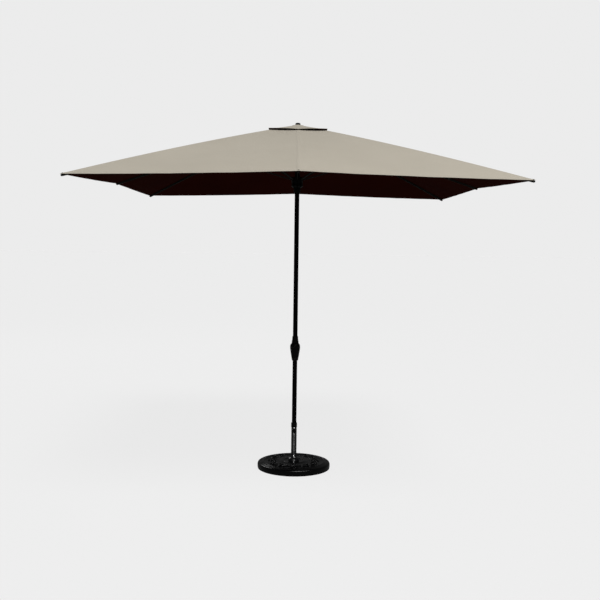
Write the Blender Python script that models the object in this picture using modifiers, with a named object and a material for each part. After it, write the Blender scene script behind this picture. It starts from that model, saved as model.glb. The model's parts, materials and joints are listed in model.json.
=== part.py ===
"""Patio umbrella with a round weighted base: rectangular vented canopy on eight ribs, crank lift.

Metres, +Z up, origin on the ground under the pole. The crank and the clamp knob face -Y.
A rib folds down about the ring wire in the top hub. A strut hangs from each rib and ends at the
runner, which slides down the pole to close the canopy.
"""

from math import asin, atan2, cos, hypot, pi, radians, sin

import bmesh
import bpy
from mathutils import Matrix, Vector

GAP = 0.0003  # between pieces that touch

# Canopy: a rectangle seen from above, highest at the pole
CANOPY_WIDTH, CANOPY_DEPTH, TOTAL_HEIGHT = 2.50, 3.00, 2.400
CORNER_RIM_Z, END_RIM_Z, SIDE_RIM_Z = 1.944, 1.976, 1.971
CORNER_BOW, MIDDLE_BOW = 0.014, 0.004  # how far a rib arches above the straight line
FABRIC = 0.0012
FABRIC_RISE = 0.0030  # top of the fabric above the top of a rib
VENT_OPENING = 0.12  # part of the way from hub to rim that the main canopy leaves open
VENT_X, VENT_Y, VENT_EDGE_Z = 0.195, 0.240, 2.336
VENT_CURVE = 1.35  # the vent cap falls more steeply near the crown above 1
CROWN_R, CROWN_Z, CROWN_EDGE_Z = 0.040, 2.3855, 2.3805
CROWN_CLEAR = 0.0018  # from the crown's edge to the corners of the vent cap's inner edge

# Pole
POLE_R, POLE_WALL = 0.016, 0.002
POLE_FOOT_Z, POLE_JOINT_Z, SPIGOT = 0.0603, 0.660, 0.060
POLE_TOP_Z = 2.3655

# Folding frame: hub, ribs, struts and runner
HUB_R, HUB_Z = 0.032, 2.369  # ring wire that the ribs turn on
HUB_BOTTOM_Z, HUB_TOP_Z, HUB_OUTER_R, HUB_CORE_R = 2.352, 2.3775, 0.040, 0.0215
WIRE_R = 0.00125
RIB_WIDTH, RIB_HEIGHT, RIB_WALL, RIB_END = 0.010, 0.013, 0.0015, 0.012
STRUT_WIDTH, STRUT_HEIGHT, PIN_R = 0.0045, 0.0088, 0.0020
STRUT_SHORT = 0.0035  # a strut ends this far from the runner's wire
RUNNER_Z = 2.010  # wire that the struts work on, canopy open
RUNNER_TOP_Z, RUNNER_BOTTOM_Z, RUNNER_R, RUNNER_CORE_R = 2.030, 1.957, 0.040, 0.0250
SLEEVE_BOTTOM_Z, SLEEVE_R = 1.925, 0.0245
RUNNER_TRAVEL = 0.837
CLOSED_ANGLE = radians(84)  # of the line from a rib's hub pivot to its strut pivot

# Crank lift
CRANK_Z = 0.853
CRANK_TURNS = 16
CORD_R = 0.0012
SPOOL_R = RUNNER_TRAVEL / (CRANK_TURNS * 2 * pi)  # to the middle of the cord
CORD_AZIMUTH = radians(25)  # between two ribs
PULLEY_Z, PULLEY_FLANGE_R, PULLEY_WIDTH = 2.310, 0.0098, 0.006
AXLE_R, AXLE_BACK, AXLE_FRONT = 0.004, 0.028, 0.0505
ARM_LENGTH, ARM_TILT, ARM_THICK, ARM_Y = 0.075, radians(5), 0.007, -0.0430
GRIP_LENGTH, GRIP_R, GRIP_PIN_R = 0.040, 0.0115, 0.0030
HOUSING_SCREW_X = 0.0245

# Base
BASE_R, BASE_EDGE_Z, BASE_TOP_Z = 0.254, 0.0430, 0.0505
STEM_R, STEM_WALL, STEM_FLOOR_Z, STEM_TOP_Z = 0.019, 0.0013, 0.0560, 0.3000
STUD_R, NUT_RECESS_R, NUT_HEIGHT = 0.006, 0.0145, 0.0110
FLANGE_R, FLANGE_TOP_Z = 0.038, 0.1010
CAP_BOTTOM_Z, CAP_TOP_Z, CAP_R = 0.289, 0.319, 0.0208
BUSH_R = STEM_R - STEM_WALL - GAP
CLAMP_Z, CLAMP_SCREW_R, BOSS_R, BOSS_FRONT = 0.268, 0.004, 0.0105, 0.031
KNOB_R, KNOB_LOBE, KNOB_BACK, KNOB_FRONT = 0.0135, 0.0018, 0.0345, 0.0520

ROUND, BASE_ROUND, WIRE_ROUND = 20, 40, 36  # sides of a turned piece
BOLT_ROUND, PIN_ROUND = 16, 12


# ---------------------------------------------------------------- scene and materials
def clear_scene():
    for obj in list(bpy.data.objects):
        bpy.data.objects.remove(obj, do_unlink=True)


def make_collection(name):
    collection = bpy.data.collections.new(name)
    bpy.context.scene.collection.children.link(collection)
    return collection


def make_material(name, colour, roughness, metallic=0.0):
    material = bpy.data.materials.new(name)
    material.use_nodes = True
    shader = material.node_tree.nodes["Principled BSDF"]
    shader.inputs["Base Color"].default_value = (*colour, 1.0)
    shader.inputs["Roughness"].default_value = roughness
    shader.inputs["Metallic"].default_value = metallic
    return material


clear_scene()
PARTS = make_collection("patio_umbrella")
CUTTERS = make_collection("cutters")
CANOPY_CLOTH = make_material("canopy_cloth", (0.47, 0.43, 0.36), 0.9)
POLE_PAINT = make_material("pole_paint", (0.030, 0.028, 0.027), 0.45, 0.2)
FRAME_PAINT = make_material("frame_paint", (0.045, 0.042, 0.040), 0.5, 0.2)
PLASTIC = make_material("black_plastic", (0.018, 0.018, 0.019), 0.4)
BASE_SHELL = make_material("base_shell", (0.012, 0.012, 0.013), 0.2)
CONCRETE = make_material("concrete", (0.38, 0.37, 0.35), 0.9)
STEEL = make_material("steel", (0.55, 0.55, 0.56), 0.35, 1.0)
CORD = make_material("cord", (0.10, 0.10, 0.10), 0.85)


# ---------------------------------------------------------------- building blocks
def empty(name, location, parent=None, turn=0.0):
    """A body's frame: its origin is on the body's joint axis."""
    obj = bpy.data.objects.new(name, None)
    obj.empty_display_size = 0.05
    obj.location = location
    obj.rotation_euler = (0, 0, turn)
    obj.parent = parent
    PARTS.objects.link(obj)
    return obj


def add_object(name, data, material, parent=None, location=(0, 0, 0), rotation=(0, 0, 0)):
    obj = bpy.data.objects.new(name, data)
    obj.location = location
    obj.rotation_euler = rotation
    obj.parent = parent
    if material is None:
        CUTTERS.objects.link(obj)
        obj.hide_render = True
        obj.display_type = "WIRE"
    else:
        data.materials.append(material)
        PARTS.objects.link(obj)
    return obj


def turned(name, profile, material, ring=False, steps=ROUND, **place):
    """A profile of (radius, height), from the top down its outer side, turned about local Z.

    A ring's profile goes on up its inner side and closes.
    """
    mesh = bpy.data.meshes.new(name)
    edges = [(i, i + 1) for i in range(len(profile) - 1)]
    if ring:
        edges.append((len(profile) - 1, 0))
    mesh.from_pydata([(r, 0, z) for r, z in profile], edges, [])
    obj = add_object(name, mesh, material, **place)
    screw = obj.modifiers.new("Turn", "SCREW")
    screw.steps = screw.render_steps = steps
    screw.use_merge_vertices = True
    screw.merge_threshold = 0.00001
    screw.use_smooth_shade = True
    return obj


def tube_profile(outer, inner, top, bottom):
    return [(outer, top), (outer, bottom), (inner, bottom), (inner, top)]


def cylinder(name, radius, start, end, material=None, steps=ROUND, **place):
    """A solid cylinder from start to end, both in its parent's frame."""
    way = Vector(end) - Vector(start)
    rotation = way.to_track_quat("Z", "Y").to_euler()
    profile = [(0, way.length), (radius, way.length), (radius, 0), (0, 0)]
    place.update(location=start, rotation=rotation)
    return turned(name, profile, material, steps=steps, **place)


def box(name, low, high, material=None, **place):
    mesh = bpy.data.meshes.new(name)
    shape = bmesh.new()
    bmesh.ops.create_cube(shape, size=1)
    middle = (Vector(low) + Vector(high)) / 2
    size = Vector(high) - Vector(low)
    bmesh.ops.scale(shape, vec=size, verts=shape.verts)
    bmesh.ops.translate(shape, vec=middle, verts=shape.verts)
    shape.to_mesh(mesh)
    shape.free()
    return add_object(name, mesh, material, **place)


def circle_points(centre, radius, count, start=0.0, turn=2 * pi):
    """Points on an arc; a whole circle leaves out the last, which would repeat the first."""
    whole = abs(turn - 2 * pi) < 1e-9
    steps = count if whole else count - 1
    angles = [start + turn * i / steps for i in range(count)]
    return [(centre[0] + radius * cos(a), centre[1] + radius * sin(a)) for a in angles]


def plate(name, outlines, width, material, **place):
    """Flat outlines in the parent's X and Z, width thick along Y, as one welded mesh."""
    curve = bpy.data.curves.new(name, "CURVE")
    curve.dimensions = "2D"
    curve.fill_mode = "BOTH"
    curve.extrude = width / 2
    for outline in outlines:
        spline = curve.splines.new("POLY")
        spline.points.add(len(outline) - 1)
        for point, (x, z) in zip(spline.points, outline):
            point.co = (x, z, 0, 1)
        spline.use_cyclic_u = True
    drawn = bpy.data.objects.new(name + "_outline", curve)
    bpy.context.scene.collection.objects.link(drawn)
    graph = bpy.context.evaluated_depsgraph_get()
    mesh = bpy.data.meshes.new_from_object(drawn.evaluated_get(graph))
    bpy.data.objects.remove(drawn)
    shape = bmesh.new()
    shape.from_mesh(mesh)
    bmesh.ops.remove_doubles(shape, verts=shape.verts, dist=0.000001)
    bmesh.ops.recalc_face_normals(shape, faces=shape.faces)
    bmesh.ops.rotate(shape, matrix=Matrix.Rotation(pi / 2, 3, "X"), verts=shape.verts)
    shape.to_mesh(mesh)
    shape.free()
    mesh.name = name
    mesh.materials.clear()
    return add_object(name, mesh, material, **place)


def boolean(obj, other, operation="DIFFERENCE"):
    step = obj.modifiers.new(operation.title(), "BOOLEAN")
    step.operation = operation
    step.object = other
    return obj


def wire(name, points, radius, material, parent=None):
    curve = bpy.data.curves.new(name, "CURVE")
    curve.dimensions = "3D"
    curve.bevel_depth = radius
    curve.bevel_resolution = 2
    curve.use_fill_caps = True
    spline = curve.splines.new("POLY")
    spline.points.add(len(points) - 1)
    for point, place in zip(spline.points, points):
        point.co = (*place, 1)
    return add_object(name, curve, material, parent=parent)


def ring_wire(name, radius, thick, material, **place):
    section = circle_points((0, 0), thick, 6, 0, -2 * pi * 5 / 6)
    profile = [(radius + x, z) for x, z in section]
    return turned(name, profile, material, ring=True, steps=WIRE_ROUND, **place)


# ---------------------------------------------------------------- canopy geometry
def rib_tips():
    """Every rib's name and where the canopy's rim passes over it, in order round the pole."""
    x, y = CANOPY_WIDTH / 2, CANOPY_DEPTH / 2
    return [
        ("right", Vector((x, 0, SIDE_RIM_Z))),
        ("back_right", Vector((x, y, CORNER_RIM_Z))),
        ("back", Vector((0, y, END_RIM_Z))),
        ("back_left", Vector((-x, y, CORNER_RIM_Z))),
        ("left", Vector((-x, 0, SIDE_RIM_Z))),
        ("front_left", Vector((-x, -y, CORNER_RIM_Z))),
        ("front", Vector((0, -y, END_RIM_Z))),
        ("front_right", Vector((x, -y, CORNER_RIM_Z))),
    ]


def is_corner(name):
    return "_" in name


def canopy_line(name, tip, u):
    """The top of the fabric over a rib, from the hub (u = 0) to the rim (u = 1)."""
    way = Vector((tip.x, tip.y, 0)).normalized()
    reach = HUB_R + u * (hypot(tip.x, tip.y) - HUB_R)
    top = HUB_Z + RIB_HEIGHT / 2 + FABRIC_RISE
    bow = CORNER_BOW if is_corner(name) else MIDDLE_BOW
    return way * reach + Vector((0, 0, top + u * (tip.z - top) + 4 * bow * u * (1 - u)))


def rib_line(name, tip, u):
    """The middle of a rib, as (distance out, height) from its hub pivot."""
    point = canopy_line(name, tip, u)
    drop = FABRIC_RISE + RIB_HEIGHT / 2
    return hypot(point.x, point.y) - HUB_R, point.z - drop - HUB_Z


def linkage(name, tip):
    """Strut pivot on the rib, strut length, and the angles of rib and strut, open and closed.

    The runner's pivot is as far from the pole's axis as the hub's, so both ends of the travel
    close exactly when the two triangles of rib and strut do.
    """
    open_drop = HUB_Z - RUNNER_Z
    closed_drop = open_drop + RUNNER_TRAVEL
    length = hypot(tip.x, tip.y) - HUB_R
    out = 0.58
    for _ in range(12):
        pivot = rib_line(name, tip, out / length)
        rib_open = atan2(-pivot[1], pivot[0])
        crossing = closed_drop * sin(CLOSED_ANGLE) - open_drop * sin(rib_open)
        along = (closed_drop**2 - open_drop**2) / (2 * crossing)
        out = along * cos(rib_open)
    pivot = rib_line(name, tip, out / length)
    strut = hypot(out, open_drop + pivot[1])
    strut_open = asin((open_drop + pivot[1]) / strut)
    strut_closed = asin((closed_drop - along * sin(CLOSED_ANGLE)) / strut)
    return pivot, strut, rib_open, strut_open, strut_closed


def warped_sheet(name, columns, rows, place_vertex, parent, matrix):
    """A grid whose (column, row) places come from a function in world space, made thin."""
    mesh = bpy.data.meshes.new(name)
    shape = bmesh.new()
    bmesh.ops.create_grid(shape, x_segments=columns, y_segments=rows, size=1)
    for vertex in shape.verts:
        across, along = vertex.co.x, (vertex.co.y + 1) / 2
        vertex.co = matrix @ place_vertex(across, along)
    bmesh.ops.recalc_face_normals(shape, faces=shape.faces)
    if sum((f.normal.z for f in shape.faces)) < 0:
        bmesh.ops.reverse_faces(shape, faces=shape.faces)
    shape.to_mesh(mesh)
    shape.free()
    obj = add_object(name, mesh, CANOPY_CLOTH, parent=parent)
    shell = obj.modifiers.new("Thickness", "SOLIDIFY")
    shell.thickness = FABRIC
    shell.offset = -1
    shell.use_even_offset = True
    return obj


def toward(middle, edge, share):
    """From middle towards edge, stopping half a gap short of it at share = 1."""
    way = edge - middle
    return middle + way * share * (1 - GAP / way.length)


def gore_vertex(index, tips):
    """Where the fabric of one rib lies: across is -1 to 1 between the two panel middles."""
    name, tip = tips[index]
    sides = {-1: tips[index - 1], 1: tips[(index + 1) % len(tips)]}

    def place(across, along):
        u = VENT_OPENING + along * (1 - VENT_OPENING)
        middle = canopy_line(name, tip, u)
        if abs(across) < 1e-6:
            return middle
        edge = (middle + canopy_line(*sides[1 if across > 0 else -1], u)) / 2
        return toward(middle, edge, abs(across))

    return place


def vent_vertex(tip):
    """Where a quarter of the vent cap lies: across runs from the side line to the end line."""
    sx, sy = (1 if tip.x > 0 else -1), (1 if tip.y > 0 else -1)
    corner, inner = atan2(VENT_Y, VENT_X), CROWN_R + CROWN_CLEAR

    def place(across, along):
        # The inner edge is a circle about the crown; the outer edge is the vent's rectangle.
        a = corner + across * (corner if across < 0 else pi / 2 - corner)
        reach = min(VENT_X / max(cos(a), 1e-6), VENT_Y / max(sin(a), 1e-6))
        r = inner + (reach - inner) * along
        x, y = max(r * cos(a), GAP), max(r * sin(a), GAP)
        z = VENT_EDGE_Z + (CROWN_EDGE_Z - VENT_EDGE_Z) * (1 - along) ** VENT_CURVE
        return Vector((sx * x, sy * y, z))

    return place


# ---------------------------------------------------------------- base and stem
def build_base():
    body = empty("base_body", (0, 0, 0))
    cover = [
        (0.030, BASE_TOP_Z),
        (0.120, BASE_TOP_Z - 0.0010),
        (0.228, BASE_EDGE_Z + 0.0025),
        (0.2385, BASE_EDGE_Z),
        (0.2480, BASE_EDGE_Z - 0.0022),
        (0.2525, BASE_EDGE_Z - 0.0085),
        (BASE_R, 0.0240),
        (0.2525, 0.0010),
        (0.2485, 0.0010),
        (0.2485, 0.0270),
        (0.2400, 0.0365),
        (STUD_R + GAP, 0.0455),
        (STUD_R + GAP, BASE_TOP_Z),
    ]
    turned("base_cover", cover, BASE_SHELL, ring=True, steps=BASE_ROUND, parent=body)
    recess = NUT_HEIGHT + 0.001
    weight = [
        (STUD_R + GAP, 0.0450),
        (0.2396, 0.0360),
        (0.2481, 0.0266),
        (0.2481, 0.0),
        (NUT_RECESS_R, 0.0),
        (NUT_RECESS_R, recess),
        (STUD_R + GAP, recess),
    ]
    turned("base_weight", weight, CONCRETE, ring=True, steps=BASE_ROUND, parent=body)
    disc_z, stud_z = BASE_TOP_Z + GAP, 0.002
    stem = [
        (STEM_R, STEM_TOP_Z),
        (STEM_R, disc_z),
        (STUD_R, disc_z),
        (STUD_R, stud_z),
        (0, stud_z),
        (0, STEM_FLOOR_Z),
        (STEM_R - STEM_WALL, STEM_FLOOR_Z),
        (STEM_R - STEM_WALL, STEM_TOP_Z),
    ]
    # The profile meets the axis twice, and ends where it starts, on the rim.
    tube = turned("stem_tube", stem + stem[:1], POLE_PAINT, parent=body)
    hole = cylinder("clamp_hole", CLAMP_SCREW_R + GAP, (0, -0.015, CLAMP_Z), (0, -0.025, CLAMP_Z),
                    parent=body, steps=BOLT_ROUND)
    boolean(tube, hole)
    nut = [
        circle_points((0, 0), 0.0105, 6),
        circle_points((0, 0), STUD_R + GAP, 16),
    ]
    plate("stem_nut", nut, NUT_HEIGHT - 0.001, STEEL, parent=body,
          location=(0, 0, 0.001 + NUT_HEIGHT / 2), rotation=(pi / 2, 0, 0))
    bore = STEM_R + GAP
    flange = [
        (0.0235, FLANGE_TOP_Z),
        (0.0250, FLANGE_TOP_Z - 0.0015),
        (0.0250, FLANGE_TOP_Z - 0.0075),
        (0.0232, FLANGE_TOP_Z - 0.0100),
        (0.0232, 0.0845),
        (0.0255, 0.0770),
        (0.0310, 0.0712),
        (FLANGE_R - 0.0015, 0.0685),
        (FLANGE_R, 0.0665),
        (FLANGE_R, BASE_TOP_Z + GAP),
        (bore, BASE_TOP_Z + GAP),
        (bore, FLANGE_TOP_Z),
    ]
    turned("stem_flange", flange, PLASTIC, ring=True, parent=body)
    lip = STEM_TOP_Z + GAP
    cap = [
        (CAP_R - 0.0020, CAP_TOP_Z),
        (CAP_R, CAP_TOP_Z - 0.0030),
        (CAP_R, CAP_BOTTOM_Z),
        (bore, CAP_BOTTOM_Z),
        (bore, lip),
        (POLE_R + 0.0008, lip),
        (POLE_R + 0.0008, CAP_TOP_Z),
    ]
    turned("stem_cap", cap, PLASTIC, ring=True, parent=body)
    boss = cylinder("clamp_boss", BOSS_R, (0, -0.012, CLAMP_Z), (0, -BOSS_FRONT, CLAMP_Z),
                    POLE_PAINT, steps=ROUND, parent=body)
    stem_cutter = cylinder("boss_seat", bore, (0, 0, 0.24), (0, 0, 0.2885), parent=body)
    thread = cylinder("boss_thread", CLAMP_SCREW_R + GAP, (0, -0.01, CLAMP_Z),
                      (0, -0.04, CLAMP_Z), parent=body, steps=BOLT_ROUND)
    boolean(boolean(boss, stem_cutter), thread)


def build_clamp():
    """The screw presses the bush onto the pole; the knob turns it."""
    at = (0, -BUSH_R, CLAMP_Z)
    screw_body = empty("clamp_screw_body", at)
    knob_body = empty("clamp_knob_body", (0, 0, 0), screw_body)
    tip, end = -0.0004, BUSH_R - KNOB_FRONT + 0.006
    cylinder("clamp_screw", CLAMP_SCREW_R, (0, tip, 0), (0, end, 0), STEEL, steps=BOLT_ROUND,
             parent=screw_body)
    outline = []
    for i in range(40):
        a = 2 * pi * i / 40
        r = KNOB_R + KNOB_LOBE * cos(5 * a)
        outline.append((r * cos(a), r * sin(a)))
    middle = BUSH_R - (KNOB_BACK + KNOB_FRONT) / 2
    knob = plate("clamp_knob", [outline], KNOB_FRONT - KNOB_BACK, PLASTIC, parent=knob_body,
                 location=(0, middle, 0))
    bore = cylinder("knob_bore", CLAMP_SCREW_R + GAP, (0, 0, 0), (0, end - GAP, 0),
                    parent=knob_body, steps=BOLT_ROUND)
    boolean(knob, bore)


def build_bush(body):
    """A split plastic liner that takes up the room between stem and pole."""
    top, bottom = STEM_TOP_Z - 0.001, STEM_FLOOR_Z + GAP
    bush = turned("pole_bush", tube_profile(BUSH_R, POLE_R + GAP, top, bottom), PLASTIC,
                  ring=True, parent=body)
    split = box("bush_split", (-0.001, 0.010, 0.03), (0.001, 0.025, 0.35), parent=body)
    boolean(bush, split)


# ---------------------------------------------------------------- pole, hub and crank housing
def build_pole(body):
    inner, spigot_r = POLE_R - POLE_WALL, POLE_R - POLE_WALL - GAP
    top = POLE_JOINT_Z + SPIGOT
    lower = [
        (spigot_r - 0.001, top),
        (spigot_r, top - 0.004),
        (spigot_r, POLE_JOINT_Z),
        (POLE_R, POLE_JOINT_Z - 0.002),
        (POLE_R, POLE_FOOT_Z),
        (inner, POLE_FOOT_Z),
        (inner, POLE_JOINT_Z - 0.006),
        (spigot_r - 0.002, POLE_JOINT_Z),
        (spigot_r - 0.002, top),
    ]
    turned("lower_pole", lower, POLE_PAINT, ring=True, parent=body)
    plug = [
        (0, 0.078),
        (inner - 0.001, 0.078),
        (inner - GAP, 0.074),
        (inner - GAP, POLE_FOOT_Z - GAP),
        (POLE_R - 0.001, POLE_FOOT_Z - GAP),
        (POLE_R - 0.001, STEM_FLOOR_Z + GAP),
        (0, STEM_FLOOR_Z + GAP),
    ]
    turned("pole_plug", plug, PLASTIC, parent=body)
    upper = turned("upper_pole", tube_profile(POLE_R, inner, POLE_TOP_Z, POLE_JOINT_Z + GAP),
                   POLE_PAINT, ring=True, parent=body)
    boolean(upper, cylinder("axle_hole", AXLE_R + 0.0005, (0, -0.03, CRANK_Z),
                            (0, 0.03, CRANK_Z), parent=body, steps=BOLT_ROUND))
    window = box("pulley_window", (0.006, -0.0035, -0.016), (0.03, 0.0035, 0.016),
                 parent=body, location=(0, 0, PULLEY_Z), rotation=(0, 0, CORD_AZIMUTH))
    boolean(upper, window)
    pin_start, pin_end = pulley_axle_ends(0.03)
    boolean(upper, cylinder("pulley_axle_hole", 0.0018, pin_start, pin_end, parent=body, steps=PIN_ROUND))


def pulley_centre():
    """The cord runs up near the pole's axis and down just outside its wall."""
    out = POLE_R + 0.0006 + CORD_R - SPOOL_R
    return Vector((out * cos(CORD_AZIMUTH), out * sin(CORD_AZIMUTH), PULLEY_Z))


def pulley_axle_ends(half):
    across = Vector((-sin(CORD_AZIMUTH), cos(CORD_AZIMUTH), 0)) * half
    return pulley_centre() - across, pulley_centre() + across


def build_pulley(mast):
    start, end = pulley_axle_ends(0.0122)
    cylinder("pulley_axle", 0.0015, start, end, STEEL, steps=PIN_ROUND, parent=mast)
    body = empty("pulley_body", pulley_centre(), mast)
    half, groove = PULLEY_WIDTH / 2, SPOOL_R - CORD_R - 0.0001
    profile = [
        (PULLEY_FLANGE_R, half),
        (PULLEY_FLANGE_R, half - 0.001),
        (groove, 0.0013),
        (groove, -0.0013),
        (PULLEY_FLANGE_R, 0.001 - half),
        (PULLEY_FLANGE_R, -half),
        (0.0018, -half),
        (0.0018, half),
    ]
    turned("cord_pulley", profile, PLASTIC, ring=True, parent=body,
           rotation=(pi / 2, 0, CORD_AZIMUTH))


def build_hub(body, tips):
    core = POLE_R + GAP
    profile = [
        (HUB_OUTER_R - 0.002, HUB_TOP_Z),
        (HUB_OUTER_R, HUB_TOP_Z - 0.002),
        (HUB_OUTER_R, HUB_BOTTOM_Z + 0.004),
        (HUB_OUTER_R - 0.006, HUB_BOTTOM_Z),
        (core, HUB_BOTTOM_Z),
        (core, POLE_TOP_Z + GAP),
        (0.0033, POLE_TOP_Z + GAP),
        (0.0033, HUB_TOP_Z),
    ]
    hub = turned("top_hub", profile, PLASTIC, ring=True, parent=body)
    cut_slots(hub, tips, HUB_CORE_R, RIB_WIDTH / 2 + 0.0004, HUB_BOTTOM_Z, HUB_TOP_Z, body)
    boolean(hub, ring_wire("hub_groove", HUB_R, WIRE_R + GAP, None, parent=body,
                           location=(0, 0, HUB_Z)))
    ring_wire("hub_ring", HUB_R, WIRE_R, STEEL, parent=body, location=(0, 0, HUB_Z))
    finial = [
        (0, TOTAL_HEIGHT),
        (0.007, TOTAL_HEIGHT - 0.0006),
        (0.0145, TOTAL_HEIGHT - 0.0030),
        (0.0175, TOTAL_HEIGHT - 0.0065),
        (0.0175, CROWN_Z + 0.0010),
        (0.0150, CROWN_Z + GAP),
        (0.0030, CROWN_Z + GAP),
        (0.0030, POLE_TOP_Z + 0.001),
        (0, POLE_TOP_Z + 0.001),
    ]
    turned("finial", finial, PLASTIC, parent=body)
    crown = [
        (0.0034, CROWN_Z),
        (0.0180, CROWN_Z),
        (CROWN_R, CROWN_EDGE_Z),
        (CROWN_R, CROWN_EDGE_Z - FABRIC),
        (0.0180, CROWN_Z - FABRIC),
        (0.0034, CROWN_Z - FABRIC),
    ]
    turned("vent_crown", crown, CANOPY_CLOTH, ring=True, parent=body)


def cut_slots(obj, tips, inner, half, bottom, top, parent):
    """One radial slot for each rib or strut."""
    for name, tip in tips:
        slot = box(f"{obj.name}_slot_{name}", (inner, -half, bottom - 0.01),
                   (0.06, half, top + 0.01), parent=parent, rotation=(0, 0, atan2(tip.y, tip.x)))
        boolean(obj, slot)


def build_housing(body):
    """A turned casing in two halves, screwed together round the pole, with a collar on top."""
    bore = POLE_R + GAP
    profile = [
        (0.0235, 0.8815),
        (0.0285, 0.8755),
        (0.0335, 0.8660),
        (0.0350, 0.8530),
        (0.0335, 0.8340),
        (0.0285, 0.8020),
        (0.0235, 0.7740),
        (0.0213, 0.7600),
        (bore, 0.7600),
        (bore, 0.8815),
    ]
    spread = 0.06
    for name, keep in (("housing_front", -1), ("housing_rear", 1)):
        half = turned(name, profile, PLASTIC, ring=True, parent=body)
        low, high = sorted((-keep * spread, keep * GAP / 2))
        boolean(half, box(name + "_cut", (-spread, low, 0.7), (spread, high, 0.95), parent=body))
        if keep < 0:
            boolean(half, cylinder("housing_axle_hole", AXLE_R + 0.0005, (0, -0.06, CRANK_Z),
                                   (0, 0, CRANK_Z), parent=body, steps=BOLT_ROUND))
        else:
            boolean(half, cylinder("housing_axle_seat", AXLE_R + 0.0005, (0, 0, CRANK_Z),
                                   (0, AXLE_BACK + GAP, CRANK_Z), parent=body, steps=BOLT_ROUND))
        for side, x in (("left", -HOUSING_SCREW_X), ("right", HOUSING_SCREW_X)):
            boolean(half, cylinder(f"{name}_{side}_bore", 0.0016, (x, -0.03, CRANK_Z),
                                   (x, 0.0105, CRANK_Z), parent=body, steps=PIN_ROUND))
            if keep < 0:
                boolean(half, cylinder(f"{name}_{side}_recess", 0.0034, (x, -0.04, CRANK_Z),
                                       (x, -0.0160, CRANK_Z), parent=body, steps=PIN_ROUND))
    screw = [
        (0, 0.0270),
        (0.0022, 0.0270),
        (0.0030, 0.0260),
        (0.0030, 0.0245),
        (0.0013, 0.0245),
        (0.0013, 0),
        (0, 0),
    ]
    for side, x in (("left", -HOUSING_SCREW_X), ("right", HOUSING_SCREW_X)):
        turned("housing_screw_" + side, screw, STEEL, steps=PIN_ROUND, parent=body,
               location=(x, 0.0080, CRANK_Z), rotation=(pi / 2, 0, 0))
    collar = [
        (0.0185, 0.9300),
        (0.0195, 0.9285),
        (0.0200, 0.9150),
        (0.0235, 0.8880),
        (0.0235, 0.8815 + GAP),
        (bore, 0.8815 + GAP),
        (bore, 0.9300),
    ]
    turned("housing_collar", collar, PLASTIC, ring=True, parent=body)


def build_crank(mast):
    body = empty("crank_body", (0, 0, CRANK_Z), mast)
    cylinder("crank_axle", AXLE_R, (0, AXLE_BACK, 0), (0, -AXLE_FRONT, 0), STEEL, steps=BOLT_ROUND,
             parent=body)
    groove = SPOOL_R - CORD_R - 0.0001
    spool = [
        (0.0115, 0.006),
        (0.0115, 0.005),
        (groove, 0.0045),
        (groove, -0.0045),
        (0.0115, -0.005),
        (0.0115, -0.006),
        (AXLE_R + GAP, -0.006),
        (AXLE_R + GAP, 0.006),
    ]
    turned("cord_spool", spool, PLASTIC, ring=True, parent=body, rotation=(pi / 2, 0, 0))
    end = (ARM_LENGTH * sin(ARM_TILT), -ARM_LENGTH * cos(ARM_TILT))
    outline = tapered_bar((0, 0), 0.0120, end, 0.0085)
    arm = plate("crank_arm", [outline, circle_points((0, 0), AXLE_R + GAP, 16)], ARM_THICK,
                PLASTIC, parent=body, location=(0, ARM_Y - ARM_THICK / 2, 0))
    pin_y = ARM_Y - ARM_THICK / 2
    pin_end = ARM_Y - ARM_THICK - GRIP_LENGTH + 0.006
    pin = cylinder("grip_pin", GRIP_PIN_R, (end[0], pin_y, end[1]), (end[0], pin_end, end[1]),
                   parent=body, steps=BOLT_ROUND)
    boolean(arm, pin, "UNION")
    grip_body = empty("grip_body", (end[0], ARM_Y - ARM_THICK, end[1]), body)
    bore, depth = GRIP_PIN_R + GAP, GRIP_LENGTH - 0.0055
    grip = [
        (0, GRIP_LENGTH),
        (0.0070, GRIP_LENGTH - 0.0006),
        (0.0102, GRIP_LENGTH - 0.0040),
        (GRIP_R, GRIP_LENGTH - 0.0110),
        (0.0108, 0.0180),
        (0.0088, 0.0060),
        (0.0092, 0.0010),
        (0.0085, GAP),
        (bore, GAP),
        (bore, depth),
        (0, depth),
    ]
    turned("crank_grip", grip, PLASTIC, parent=grip_body, rotation=(pi / 2, 0, 0))


def tapered_bar(start, start_r, end, end_r, arc=9):
    """The outline of a bar with a round end of its own radius at each of two points."""
    way = atan2(end[1] - start[1], end[0] - start[0])
    lean = asin((start_r - end_r) / hypot(end[0] - start[0], end[1] - start[1]))
    first, last = way + pi / 2 - lean, way - pi / 2 + lean
    near = circle_points(start, start_r, arc, first, pi + 2 * lean)
    far = circle_points(end, end_r, arc, last, pi - 2 * lean)
    return near + far


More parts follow.
